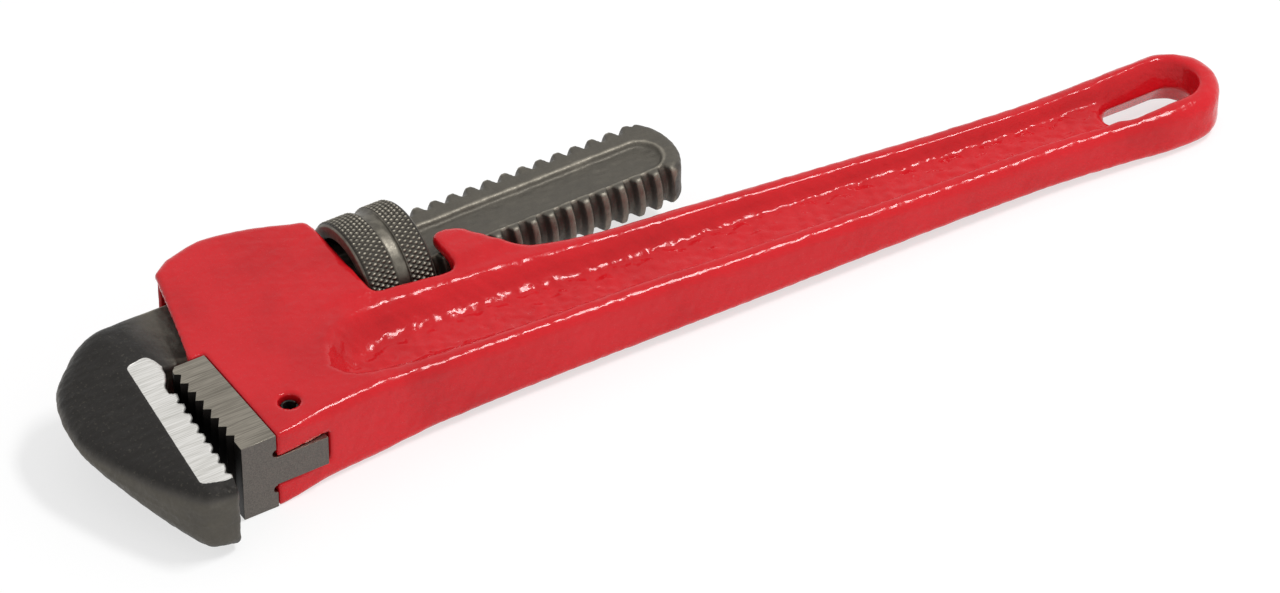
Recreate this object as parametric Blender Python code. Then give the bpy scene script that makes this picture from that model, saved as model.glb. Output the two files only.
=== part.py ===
"""Straight pipe wrench, closed, lying flat.

The forged hook jaw slides in the cast housing at the head of the handle, driven by a knurled
nut that runs on the coarse thread along both edges of its shank.  The toothed heel jaw plugs
into the housing with a tongue and is held by one cross pin.  A bowed leaf spring and a small
coil spring load the shank, so that the hook jaw can rock a little in the housing.

Working frame: x from the heel jaw's seat on the housing towards the handle's end, y from the
heel jaw's open end towards the shank, z from the middle plane of the casting.  The finished
assembly is moved so that its origin lies under the middle of its bounding box.
"""
import math

import bmesh
import bpy
import numpy as np
from mathutils import Vector

MM = 0.001

# Heel jaw, its tongue and cross pin
HEEL_JAW_LENGTH = 34.7 * MM
HEEL_TIP_DEPTH = 10.2 * MM
HEEL_TOOTH_PITCH = 3.7 * MM
HEEL_TOOTH_DEPTH = 1.75 * MM
HEEL_NEAR_LAND = 5.4 * MM
HEEL_CORNER = 1.2 * MM
TONGUE_LENGTH = 13.7 * MM
TONGUE_THICKNESS = 8.3 * MM
RELIEF_RADIUS = 1.15 * MM
SEAT_GAP = 0.3 * MM
TONGUE_END_GAP = 1.2 * MM
PIN_RADIUS = 2.4 * MM
PIN_WALL = 0.8 * MM
PIN_SLOT = 0.7 * MM
PIN_RECESS = 1.5 * MM
PIN_GAP = 0.33 * MM
PIN_X = 8.64 * MM
PIN_Y = 9.4 * MM

# Thread on the shank's edges, and the shank
THREAD_PITCH = 5.08 * MM
THREAD_DEPTH = 2.0 * MM
CREST_RADIUS = 11.85 * MM
CREST_WIDTH = 1.35 * MM
FLANK_SLOPE = math.tan(math.radians(29.5))
THREAD_CLEARANCE = 0.35 * MM
CREST_CENTRE_X = 73.5 * MM
SHANK_THICKNESS = 12.0 * MM
SHANK_REACH = 142.5 * MM
SHANK_END_DOME = 8.5 * MM
THREAD_LEAD_IN = 5.2 * MM
PANEL_DEPTH = 1.0 * MM
PANEL_NEAR = 6.7 * MM
PANEL_FAR = 4.3 * MM
PANEL_START_X = 20.0 * MM
PANEL_END_LAND = 5.0 * MM

# Housing round the shank
BODY_THICKNESS = 22.2 * MM
LIP_GAP = 0.5 * MM
LIP_THICKNESS = 2.6 * MM
LIP_REACH = 3.9 * MM
NEAR_PLAY = 1.65 * MM
SPRING_SPACE = 7.35 * MM
OUTER_WALL = 4.0 * MM
SIDE_PLAY = 1.1 * MM
MOUTH_FLARE = 2.8 * MM
MOUTH_FLARE_DEPTH = 14.0 * MM
WINDOW_FRONT_X = 46.2 * MM
NUT_FRONT_GAP = 0.9 * MM
NUT_REAR_GAP = 3.7 * MM
NUT_FLOOR_GAP = 1.2 * MM
HUMP_BELOW_AXIS = 3.7 * MM
EAR_SLOT_PLAY = 0.8 * MM
EAR_FLOOR_PLAY = 2.5 * MM
EDGE_RADIUS = 2.6 * MM
MACHINED_EDGE = 0.4 * MM
WINDOW_EDGE = 1.2 * MM
WINDOW_FRONT_CORNER = 2.0 * MM
WINDOW_REAR_CORNER = 3.0 * MM
WINDOW_FLOOR_RISE = 0.7 * MM
WINDOW_FLOOR_FALL = 1.0 * MM
RECESS_TIP_X = 23.5 * MM

# Adjusting nut
NUT_RADIUS = 16.2 * MM
NUT_LENGTH = 18.4 * MM
NUT_FRONT_BAND = 8.0 * MM
NUT_GROOVE_WIDTH = 3.6 * MM
NUT_GROOVE_DEPTH = 1.0 * MM
NUT_CHAMFER = 0.9 * MM

# Handle beam and hanging eye
HANDLE_REACH = 273.7 * MM
ROOT_THICKNESS = 17.3 * MM
GRIP_THICKNESS = 12.0 * MM
EYE_THICKNESS = 13.2 * MM
ROOT_HALF_WIDTH = 14.0 * MM
WAIST_HALF_WIDTH = 11.0 * MM
EYE_HALF_WIDTH = 12.8 * MM
HANDLE_ROOT_X = 105.0 * MM
HANDLE_ROOT_Y = 14.6 * MM
HANDLE_DROP = 0.0737
EYE_BLEND_LENGTH = 34.0 * MM
EYE_FULL_LENGTH = 18.0 * MM
RECESS_END_WALL = 22.0 * MM
RECESS_END_LENGTH = 11.6 * MM
FLANGE_WIDTH = 4.5 * MM
WEB_THICKNESS = 6.4 * MM
GRIP_WEB_THICKNESS = 4.8 * MM
EYE_HOLE_LENGTH = 25.0 * MM
EYE_HOLE_WIDTH = 10.8 * MM
EYE_END_WALL = 6.7 * MM
EYE_FLARE = 2.9 * MM

# Hook jaw head
HOOK_THICKNESS = 17.4 * MM
HOOK_REACH = 37.0 * MM
HOOK_TIP_Y = -10.5 * MM
WEDGE_SLOPE = 0.34
NECK_RAMP_START_X = -2.0 * MM
NECK_RAMP_LENGTH = 10.0 * MM
HOOK_TOOTH_PITCH = 4.0 * MM
HOOK_TOOTH_HEIGHT = 1.26 * MM
HOOK_TOOTH_COUNT = 8
CHEEK_LINE_X = -21.7 * MM
CHEEK_LINE_SLOPE = 0.1057
JAW_GAP = 1.4 * MM

# Springs
LEAF_THICKNESS = 0.7 * MM
LEAF_WIDTH = 10.4 * MM
LEAF_FREE_X = 7.5 * MM
SPRING_GAP = 0.33 * MM
COIL_X = 20.0 * MM
COIL_RADIUS = 2.6 * MM
COIL_WIRE_RADIUS = 0.5 * MM
COIL_TURNS = 5
COIL_POCKET_DEPTH = 7.0 * MM

# Places that follow from the sizes above
BODY_HALF = BODY_THICKNESS / 2
SHANK_HALF = SHANK_THICKNESS / 2
ROOT_RADIUS = CREST_RADIUS - THREAD_DEPTH
LIP_Y = HEEL_JAW_LENGTH + LIP_GAP
PASSAGE_NEAR_Y = LIP_Y + LIP_THICKNESS
SHANK_AXIS_Y = PASSAGE_NEAR_Y + NEAR_PLAY + CREST_RADIUS
SHANK_BACK_Y = SHANK_AXIS_Y + CREST_RADIUS
HOUSING_BACK_Y = SHANK_BACK_Y + SPRING_SPACE + OUTER_WALL
NUT_FRONT_X = WINDOW_FRONT_X + NUT_FRONT_GAP
WINDOW_BACK_X = NUT_FRONT_X + NUT_LENGTH + NUT_REAR_GAP
WINDOW_FLOOR_Y = SHANK_AXIS_Y - NUT_RADIUS - NUT_FLOOR_GAP
HUMP_TOP_Y = SHANK_AXIS_Y - HUMP_BELOW_AXIS
PASSAGE_HALF = SHANK_HALF + SIDE_PLAY
THREAD_START_X = WINDOW_FRONT_X - THREAD_LEAD_IN
GRIP_LENGTH = HANDLE_REACH - HANDLE_ROOT_X
RECESS_END_X = HANDLE_REACH - RECESS_END_WALL
THROAT_Y = SHANK_AXIS_Y - 25.9 * MM


def curve_through(points, steps):
    """Return a smooth open curve through the points, with so many steps in each span."""
    points = np.asarray(points, float)
    padded = np.vstack([2 * points[0] - points[1], points, 2 * points[-1] - points[-2]])
    t = (np.arange(steps) / steps)[:, None]
    spans = []
    for a, b, c, d in zip(padded, padded[1:], padded[2:], padded[3:]):
        spans.append(b + t * (c - a) / 2 + t ** 2 * (a - 2.5 * b + 2 * c - d / 2)
                     + t ** 3 * (1.5 * (b - c) + (d - a) / 2))
    return np.vstack(spans + [points[-1:]])


def arc(centre, radius, start, end, steps):
    """Return points on a circle from one angle to another, in degrees."""
    angles = np.radians(np.linspace(start, end, steps + 1))
    return np.column_stack([centre[0] + radius * np.cos(angles), centre[1] + radius * np.sin(angles)])


def circle(centre, radius, steps):
    """Return the points of a whole circle, counter-clockwise."""
    return arc(centre, radius, 0, 360, steps)[:-1]


def slot_outline(x_start, x_end, centre_y, radius, steps=8):
    """Return a slot along x with round ends, whose radius is half its width."""
    return np.vstack([arc((x_end - radius, centre_y), radius, -90, 90, steps),
                      arc((x_start + radius, centre_y), radius, 90, 270, steps)])


def inset(outline, distance):
    """Move each point of a counter-clockwise outline inwards along its mitre."""
    def unit(vectors):
        return vectors / np.linalg.norm(vectors, axis=1)[:, None]
    before = unit(outline - np.roll(outline, 1, axis=0))
    after = unit(np.roll(outline, -1, axis=0) - outline)
    normals = np.stack([-before[:, 1], before[:, 0]], 1) + np.stack([-after[:, 1], after[:, 0]], 1)
    mitre = 2 * normals / np.maximum((normals ** 2).sum(axis=1), 0.8)[:, None]
    return outline + mitre * np.reshape(distance, (-1, 1))


def at_height(outline, z):
    """Give every point of a plan outline its height."""
    return np.column_stack([outline, np.broadcast_to(z, len(outline))])


def loft(rings):
    """Join closed rings of equally many points into one solid with flat ends."""
    bm = bmesh.new()
    rows = [[bm.verts.new(point) for point in ring] for ring in rings]
    for low, high in zip(rows, rows[1:]):
        for i in range(len(low)):
            j = (i + 1) % len(low)
            bm.faces.new((low[i], low[j], high[j], high[i]))
    ends = [bm.faces.new(rows[0][::-1]), bm.faces.new(rows[-1])]
    bm.normal_update()
    bmesh.ops.triangulate(bm, faces=ends)
    bmesh.ops.recalc_face_normals(bm, faces=bm.faces)
    return bm


def crease(bm, point, normal):
    """Cut every face along a plane, so that heights may change slope there."""
    geometry = bm.verts[:] + bm.edges[:] + bm.faces[:]
    bmesh.ops.bisect_plane(bm, geom=geometry, dist=2e-5, plane_co=point, plane_no=normal)


def set_heights(bm, half_thickness):
    """Turn the unit heights of a flat blank into real ones, by a function of x and y."""
    for vert in bm.verts:
        vert.co.z *= half_thickness(vert.co.x, vert.co.y)


def turned(profile, steps):
    """Revolve a closed profile of (x, radius) points about the x axis into a ring."""
    bm = bmesh.new()
    rows = []
    for angle in np.linspace(0, 2 * math.pi, steps, endpoint=False):
        rows.append([bm.verts.new((x, r * math.cos(angle), r * math.sin(angle))) for x, r in profile])
    for row, following in zip(rows, rows[1:] + rows[:1]):
        for i in range(len(row)):
            j = (i + 1) % len(row)
            bm.faces.new((row[i], row[j], following[j], following[i]))
    bmesh.ops.recalc_face_normals(bm, faces=bm.faces)
    return bm


def material(name, colour, roughness, metallic):
    """Return a plain Principled material."""
    made = bpy.data.materials.new(name)
    made.use_nodes = True
    shader = made.node_tree.nodes["Principled BSDF"]
    shader.inputs["Base Color"].default_value = (*colour, 1)
    shader.inputs["Roughness"].default_value = roughness
    shader.inputs["Metallic"].default_value = metallic
    return made


def add_piece(name, bm, finish, parent, origin, smooth_angle=30):
    """Make an object from a mesh in working coordinates, with its origin at a point."""
    bmesh.ops.translate(bm, vec=-Vector(origin), verts=bm.verts)
    mesh = bpy.data.meshes.new(name)
    bm.to_mesh(mesh)
    bm.free()
    mesh.materials.append(finish)
    mesh.shade_smooth()
    mesh.set_sharp_from_angle(angle=math.radians(smooth_angle))
    piece = bpy.data.objects.new(name, mesh)
    bpy.context.scene.collection.objects.link(piece)
    piece.parent = parent
    piece.location = Vector(origin) - Vector(parent["place"])
    return piece


def add_frame(name, place, parent=None):
    """Make an empty at a point of the working frame, to carry pieces."""
    frame = bpy.data.objects.new(name, None)
    bpy.context.scene.collection.objects.link(frame)
    frame["place"] = place
    frame.parent = parent
    frame.location = Vector(place) - Vector(parent["place"] if parent else (0, 0, 0))
    return frame


def shape_with(piece, bm, name, operation="DIFFERENCE"):
    """Cut, join or intersect a piece with a guide solid that is not part of the object."""
    guide = add_piece(name, bm, piece.data.materials[0], piece.parent, tuple(piece["origin"]))
    guide.hide_render = True
    guide.display_type = "WIRE"
    step = piece.modifiers.new(name, "BOOLEAN")
    step.operation = operation
    step.solver = "EXACT"
    step.object = guide


def prism(outline, low, high):
    """Extrude a plan outline between two heights."""
    return loft([at_height(outline, low), at_height(outline, high)])


def box(low, high):
    """Return a rectangular block between two corners."""
    outline = np.array([(low[0], low[1]), (high[0], low[1]), (high[0], high[1]), (low[0], high[1])])
    return prism(outline, low[2], high[2])


def handle_line(x):
    """Return the y of the handle's centre line, which droops from the head to the eye."""
    return HANDLE_ROOT_Y - HANDLE_DROP * (x - HANDLE_ROOT_X)


def handle_half_width(x):
    """Return half the handle's width: a slow taper to a waist, then out to the eye."""
    stations = HANDLE_ROOT_X + np.array([0, 0.15, 0.35, 0.5, 0.62, 0.69, 0.8, 0.9]) * GRIP_LENGTH
    taper = ROOT_HALF_WIDTH - WAIST_HALF_WIDTH
    flare = EYE_HALF_WIDTH - WAIST_HALF_WIDTH
    widths = WAIST_HALF_WIDTH + np.array([taper, 0.88 * taper, 0.54 * taper, 0.27 * taper, 0.1 * taper, 0,
                                          0.45 * flare, flare])
    return np.interp(x, stations, widths)


def casting_outline():
    """Return (x, y, edge radius) round housing and handle, counter-clockwise from the jaw seat."""
    full, crisp, window_edge = EDGE_RADIUS, MACHINED_EDGE, WINDOW_EDGE
    grip = HANDLE_ROOT_X + GRIP_LENGTH * np.array([0.15, 0.3, 0.45, 0.6, 0.7, 0.8, 0.89])
    near_root = HANDLE_ROOT_Y - ROOT_HALF_WIDTH
    near = [(0, 0, crisp), (6 * MM, 0.4 * MM, full / 2), (16 * MM, 1.5 * MM, full),
            (35 * MM, 2.6 * MM, full), (60 * MM, 2.4 * MM, full),
            (HANDLE_ROOT_X - 22 * MM, near_root + 0.9 * MM, full), (HANDLE_ROOT_X, near_root, full)]
    near += [(x, handle_line(x) - handle_half_width(x), full) for x in grip]
    far = [(x, handle_line(x) + handle_half_width(x), full) for x in grip[::-1]]
    end_y = handle_line(HANDLE_REACH)
    end = [(HANDLE_REACH - 7.7 * MM, end_y - 0.84 * EYE_HALF_WIDTH, full),
           (HANDLE_REACH - 2.0 * MM, end_y - 0.4 * EYE_HALF_WIDTH, full),
           (HANDLE_REACH, end_y + 0.12 * EYE_HALF_WIDTH, full),
           (HANDLE_REACH - 1.8 * MM, end_y + 0.66 * EYE_HALF_WIDTH, full),
           (HANDLE_REACH - 8.2 * MM, end_y + 1.06 * EYE_HALF_WIDTH, full)]
    hump = [(HANDLE_ROOT_X, HANDLE_ROOT_Y + ROOT_HALF_WIDTH, full),
            (WINDOW_BACK_X + 20 * MM, HUMP_TOP_Y - 14.6 * MM, full),
            (WINDOW_BACK_X + 14 * MM, HUMP_TOP_Y - 8.6 * MM, full),
            (WINDOW_BACK_X + 9 * MM, HUMP_TOP_Y - 2.0 * MM, full),
            (WINDOW_BACK_X + 5 * MM, HUMP_TOP_Y, full)]
    rear, front = WINDOW_REAR_CORNER, WINDOW_FRONT_CORNER
    window = np.vstack([
        arc((WINDOW_BACK_X + rear, HUMP_TOP_Y - 0.6 * MM - rear), rear, 105, 180, 4),
        arc((WINDOW_BACK_X - rear, WINDOW_FLOOR_Y - WINDOW_FLOOR_FALL + rear), rear, 0, -85, 4),
        arc((WINDOW_FRONT_X + front, WINDOW_FLOOR_Y + WINDOW_FLOOR_RISE + front), front, -95, -180, 4)])
    housing_end_y = SHANK_BACK_Y - 0.6 * MM
    back = [(WINDOW_FRONT_X, housing_end_y, window_edge),
            (WINDOW_FRONT_X - 1.2 * MM, housing_end_y + 3.6 * MM, window_edge),
            (0.87 * WINDOW_FRONT_X, HOUSING_BACK_Y - 5.4 * MM, full),
            (0.7 * WINDOW_FRONT_X, HOUSING_BACK_Y - 2.3 * MM, full),
            (0.43 * WINDOW_FRONT_X, HOUSING_BACK_Y, full),
            (0.2 * WINDOW_FRONT_X, HOUSING_BACK_Y - 2.3 * MM, full)]
    mouth = [(0.1 * WINDOW_FRONT_X, HOUSING_BACK_Y - 6.3 * MM, window_edge),
             (-LIP_REACH, LIP_Y + 0.9 * MM, crisp), (-LIP_REACH, LIP_Y, crisp), (0, LIP_Y, crisp)]
    window = np.column_stack([window, np.full(len(window), window_edge)])
    return np.vstack([curve_through(near + end + far + hump, 3), window, curve_through(back, 3), mouth])


def thickness_stations():
    """Return (x, thickness) along the casting: the housing, the beam's root, the grip and the eye."""
    return np.array([
        (30 * MM, BODY_THICKNESS), (43 * MM, BODY_THICKNESS - 2.5 * MM),
        (60 * MM, ROOT_THICKNESS + 1.2 * MM), (83 * MM, ROOT_THICKNESS),
        (HANDLE_ROOT_X, ROOT_THICKNESS - 0.7 * MM),
        (HANDLE_ROOT_X + 0.148 * GRIP_LENGTH, GRIP_THICKNESS + 3 * MM),
        (HANDLE_ROOT_X + 0.296 * GRIP_LENGTH, GRIP_THICKNESS + 1.8 * MM),
        (HANDLE_ROOT_X + 0.533 * GRIP_LENGTH, GRIP_THICKNESS),
        (HANDLE_REACH - EYE_BLEND_LENGTH, GRIP_THICKNESS), (HANDLE_REACH - EYE_FULL_LENGTH, EYE_THICKNESS)])


def casting_half_thickness(x, y):
    """Return half the casting's thickness: full at the housing, tapering down the handle."""
    low = np.interp(x, *thickness_stations().T)
    high = np.interp(x, [WINDOW_FRONT_X, WINDOW_BACK_X, HANDLE_ROOT_X],
                     [BODY_THICKNESS, BODY_THICKNESS - 2 * MM, ROOT_THICKNESS])
    share = np.clip((y - (WINDOW_FLOOR_Y - 3 * MM)) / (6 * MM), 0, 1)
    return (low + share * (high - low)) / 2


def pocket_cutter(side):
    """Return the tool for the long drafted recess in one side of the handle."""
    flange = FLANGE_WIDTH
    tip_x = RECESS_END_X
    straight = tip_x - RECESS_END_LENGTH - HANDLE_ROOT_X
    grip = HANDLE_ROOT_X + straight * np.array([0.0, 0.2, 0.4, 0.625, 0.85, 1.0])
    near = [(x, handle_line(x) - handle_half_width(x) + flange) for x in grip]
    far = [(x, handle_line(x) + handle_half_width(x) - flange) for x in grip[::-1]]
    outline = curve_through(
        [(RECESS_TIP_X, 16 * MM), (26.6 * MM, 10.8 * MM), (35 * MM, 8.2 * MM), (65 * MM, 6.5 * MM)] + near
        + [(tip_x - 3 * MM, handle_line(tip_x) - 4.5 * MM), (tip_x, handle_line(tip_x)),
           (tip_x - 3 * MM, handle_line(tip_x) + 6.5 * MM)] + far
        + [(78 * MM, WINDOW_FLOOR_Y - 6 * MM), (51 * MM, WINDOW_FLOOR_Y - 3.6 * MM),
           (38 * MM, WINDOW_FLOOR_Y - 4.1 * MM), (28 * MM, WINDOW_FLOOR_Y - 9.5 * MM),
           (RECESS_TIP_X, 16 * MM)], 3)[:-1]
    run = np.interp(outline[:, 0], [26 * MM, 40 * MM, 60 * MM, HANDLE_ROOT_X,
                                    HANDLE_ROOT_X + 0.33 * GRIP_LENGTH, HANDLE_ROOT_X + 0.8 * GRIP_LENGTH],
                    np.array([4.2, 5.4, 5.4, 3.4, 2.2, 1.5]) * MM)
    web = np.interp(outline[:, 0], [60 * MM, HANDLE_ROOT_X + 0.56 * GRIP_LENGTH],
                    [WEB_THICKNESS / 2, GRIP_WEB_THICKNESS / 2])
    rim = casting_half_thickness(outline[:, 0], outline[:, 1])
    rings = []
    for share, height in ((1.0, 0.0), (0.62, 0.1), (0.3, 0.4), (-0.2, 1.4)):
        rings.append(at_height(inset(outline, share * run), side * (web + height * (rim - web))))
    return loft(rings)


def eye_cutter():
    """Return the tool for the hanging hole, flared to both faces."""
    end_x = HANDLE_REACH - EYE_END_WALL
    centre_y = handle_line(end_x) + 0.4 * MM
    radius = EYE_HOLE_WIDTH / 2
    middle = slot_outline(end_x - EYE_HOLE_LENGTH, end_x, centre_y, radius)
    reach = 1.3
    flare = EYE_FLARE * reach
    mouth = slot_outline(end_x - EYE_HOLE_LENGTH - 1.3 * flare, end_x + 0.75 * flare,
                         centre_y + 0.35 * flare, radius + flare)
    height = reach * EYE_THICKNESS / 2
    return loft([at_height(mouth, -height), at_height(middle, 0), at_height(mouth, height)])


def passage_cutter():
    """Return the tool for the shank's passage, with its flared mouth and room for the leaf spring."""
    inner_back = SHANK_BACK_Y + SPRING_SPACE
    spring_back = SHANK_BACK_Y + LEAF_THICKNESS + 2 * SPRING_GAP
    mouth_back = inner_back - 4 * MM
    stations = [(-LIP_REACH - 4 * MM, mouth_back, MOUTH_FLARE), (0, mouth_back, MOUTH_FLARE),
                (MOUTH_FLARE_DEPTH, inner_back - 1 * MM, 0), (0.45 * WINDOW_FRONT_X, inner_back, 0),
                (0.72 * WINDOW_FRONT_X, inner_back - 2.6 * MM, 0), (WINDOW_FRONT_X - 3 * MM, spring_back, 0),
                (WINDOW_FRONT_X + 2 * MM, spring_back, 0)]
    rings = []
    for x, back_y, flare in stations:
        half = PASSAGE_HALF + flare
        radius = 1.6 * MM + 0.4 * flare
        corners = [arc((back_y - radius, half - radius), radius, 0, 90, 3),
                   arc((PASSAGE_NEAR_Y + radius, half - radius), radius, 90, 180, 3),
                   arc((PASSAGE_NEAR_Y + radius, radius - half), radius, 180, 270, 3),
                   arc((back_y - radius, radius - half), radius, 270, 360, 3)]
        section = np.vstack(corners)
        rings.append(np.column_stack([np.full(len(section), x), section]))
    return loft(rings)


def pin_hole_cutter():
    """Return the tool for the cross pin's hole, through housing and tongue alike."""
    return prism(circle((PIN_X, PIN_Y), PIN_RADIUS + PIN_GAP, 24), -BODY_THICKNESS, BODY_THICKNESS)


def build_handle(finish, parent):
    """Cast housing and handle: a rounded blank, then its recesses, passages and holes."""
    outline = casting_outline()
    plan, radius = outline[:, :2], outline[:, 2]
    rings = []
    for side, angles in ((-1, (90, 45, 0)), (1, (0, 45, 90))):
        for angle in np.radians(angles):
            level = 1 - radius / BODY_HALF * (1 - math.sin(angle))
            rings.append(at_height(inset(plan, radius * (1 - math.cos(angle))), side * level))
    bm = loft(rings)
    for x in thickness_stations()[:, 0]:
        crease(bm, (x, 0, 0), (1, 0, 0))
    for y in (WINDOW_FLOOR_Y - 3 * MM, WINDOW_FLOOR_Y + 3 * MM):
        crease(bm, (0, y, 0), (0, 1, 0))
    set_heights(bm, casting_half_thickness)
    bmesh.ops.triangulate(bm, faces=bm.faces)
    handle = add_piece("handle", bm, finish, parent, (0, 0, 0), 35)
    handle["origin"] = (0, 0, 0)
    shape_with(handle, eye_cutter(), "hanging_hole")
    shape_with(handle, pocket_cutter(1), "upper_recess")
    shape_with(handle, pocket_cutter(-1), "lower_recess")
    shape_with(handle, passage_cutter(), "shank_passage")
    slot_half = TONGUE_THICKNESS / 2 + SEAT_GAP
    slot_corner = (TONGUE_LENGTH + TONGUE_END_GAP, HEEL_JAW_LENGTH + SEAT_GAP, slot_half)
    shape_with(handle, box((-5 * MM, -5 * MM, -slot_half), slot_corner), "tongue_slot")
    ear_half = SHANK_HALF + EAR_SLOT_PLAY
    shape_with(handle, box((WINDOW_BACK_X - 3 * MM, SHANK_AXIS_Y - CREST_RADIUS - EAR_FLOOR_PLAY, -ear_half),
                           (HANDLE_ROOT_X, HUMP_TOP_Y + 5 * MM, ear_half)), "ear_slot")
    shape_with(handle, pin_hole_cutter(), "pin_hole")
    pocket = [circle((COIL_X, 0), COIL_RADIUS + COIL_WIRE_RADIUS + 0.4 * MM, 16)] * 2
    bore = [np.column_stack([ring[:, 0], np.full(len(ring), y), -ring[:, 1]])
            for ring, y in zip(pocket, (PASSAGE_NEAR_Y - COIL_POCKET_DEPTH, PASSAGE_NEAR_Y + 1 * MM))]
    shape_with(handle, loft(bore), "coil_pocket")
    return handle


def thread_edge(side, first, last):
    """Return (x, radius) of the thread's corners along one edge of the shank.

    The crest nearest CREST_CENTRE_X on the back edge has number 0; on a right-hand thread the
    near edge's crests lie half a pitch further on.
    """
    flank = THREAD_DEPTH * FLANK_SLOPE
    corners = []
    for number in range(first, last + 1):
        centre = CREST_CENTRE_X + (number + (0.5 if side < 0 else 0)) * THREAD_PITCH
        corners.append((centre - CREST_WIDTH / 2, CREST_RADIUS))
        corners.append((centre + CREST_WIDTH / 2, CREST_RADIUS))
        if number < last:
            corners.append((centre + CREST_WIDTH / 2 + flank, ROOT_RADIUS))
            corners.append((centre + THREAD_PITCH - CREST_WIDTH / 2 - flank, ROOT_RADIUS))
    return np.array(corners)


def edge_points(corners, side, level):
    """Place thread corners at a height on the shank: x follows the helix, y the radius."""
    z = level * SHANK_HALF
    x, radius = corners[:, 0], corners[:, 1]
    turn = np.arcsin(z / radius) / (2 * math.pi)
    y = SHANK_AXIS_Y + side * np.sqrt(radius ** 2 - z ** 2)
    return np.column_stack([x + side * turn * THREAD_PITCH, y])


def hook_half_thickness(x, y):
    """Return half the hook jaw's thickness: slab shank, ramp to the head, wedge to its rim."""
    ramp = np.clip((NECK_RAMP_START_X - x) / NECK_RAMP_LENGTH, 0, 1)
    flat = SHANK_HALF + ramp * (HOOK_THICKNESS / 2 - SHANK_HALF)
    edge_x = wedge_edge_x(y)
    return flat - WEDGE_SLOPE * max(0.0, edge_x - x)


def wedge_edge_x(y):
    """Return the x of the line where the ground tooth strip meets the sloping cheek."""
    return CHEEK_LINE_X + CHEEK_LINE_SLOPE * y


def hook_teeth(first, count):
    """Return the outline of the hook jaw's teeth from the tip up to the throat."""
    lean = math.radians(5.6)
    along = np.array([math.sin(lean), math.cos(lean)])
    corners = []
    for number in range(count - 1, -1, -1):
        root = np.array(first) - along * number * HOOK_TOOTH_PITCH
        corners.append(root + (0.75 * HOOK_TOOTH_HEIGHT, -0.64 * HOOK_TOOTH_PITCH))
        corners.append(root + (HOOK_TOOTH_HEIGHT, -0.25 * HOOK_TOOTH_PITCH))
        corners.append(root)
    return corners


def hook_outline(level):
    """Return the hook jaw's outline at a height, from its tip round the shank and back."""
    roundness = 1 - math.sqrt(1 - level ** 2)
    tooth_line = -HEEL_TIP_DEPTH - JAW_GAP
    teeth = hook_teeth((tooth_line - HOOK_TOOTH_HEIGHT, THROAT_Y), HOOK_TOOTH_COUNT)
    throat = [(tooth_line, THROAT_Y + 1.2 * MM), (tooth_line + 0.4 * MM, THROAT_Y + 3.2 * MM),
              (tooth_line - 1.1 * MM, THROAT_Y + 4.1 * MM), (tooth_line - 0.6 * MM, THROAT_Y + 7.2 * MM),
              (tooth_line + 1.0 * MM, THROAT_Y + 9.5 * MM), (tooth_line + 1.9 * MM, THROAT_Y + 11.6 * MM)]
    low_edge = SHANK_AXIS_Y - math.sqrt(CREST_RADIUS ** 2 - (level * SHANK_HALF) ** 2)
    neck = [(tooth_line + 2.2 * MM, low_edge), (-2 * MM, low_edge), (18 * MM, low_edge)]
    first = math.ceil((THREAD_START_X - CREST_CENTRE_X) / THREAD_PITCH)
    last = (SHANK_REACH - SHANK_END_DOME - CREST_CENTRE_X) / THREAD_PITCH
    near = edge_points(thread_edge(-1, first, math.floor(last - 0.5)), -1, level)
    far = edge_points(thread_edge(1, first, math.floor(last)), 1, level)[::-1]
    high_edge = 2 * SHANK_AXIS_Y - low_edge
    dome_x = SHANK_REACH - SHANK_END_DOME
    dome_angles = np.radians(np.linspace(-80, 80, 9))
    dome_size = 1 - 0.14 * roundness
    dome = np.column_stack([dome_x + SHANK_END_DOME * dome_size * np.cos(dome_angles),
                            SHANK_AXIS_Y + (high_edge - SHANK_AXIS_Y) * np.sin(dome_angles)])
    back = [(18 * MM, high_edge), (0, high_edge)]
    head = curve_through([
        (-12 * MM, SHANK_BACK_Y, 1.8 * MM), (-18 * MM, SHANK_BACK_Y - 0.4 * MM, 3.2 * MM),
        (-25.7 * MM, SHANK_AXIS_Y + 8.0 * MM, 4 * MM),
        (0.12 * MM - 0.905 * HOOK_REACH, SHANK_AXIS_Y - 0.8 * MM, 4 * MM),
        (-HOOK_REACH, SHANK_AXIS_Y - 16 * MM, 3.8 * MM),
        (-0.978 * HOOK_REACH, SHANK_AXIS_Y - 27.8 * MM, 3.8 * MM),
        (-0.889 * HOOK_REACH, HOOK_TIP_Y + 20.7 * MM, 4.2 * MM),
        (-28.6 * MM, HOOK_TIP_Y + 10 * MM, 4.8 * MM), (-24.6 * MM, HOOK_TIP_Y + 2.1 * MM, 4.9 * MM),
        (-20.5 * MM, HOOK_TIP_Y + 0.05 * MM, 5 * MM),
        (-16.5 * MM, HOOK_TIP_Y, 5 * MM)], 3)
    corner = [(-14.6 * MM, HOOK_TIP_Y + 0.9 * MM, 4.3 * MM)]
    rest = np.vstack([teeth, throat, neck, near, dome, far, back])
    outline = np.vstack([rest, head[:, :2], np.array(corner)[:, :2]])
    depth = np.concatenate([np.zeros(len(rest)), head[:, 2], [0]])
    moved = inset(outline, depth * roundness)
    moved[-1, 1] += corner[0][2] * roundness
    return moved


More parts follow.
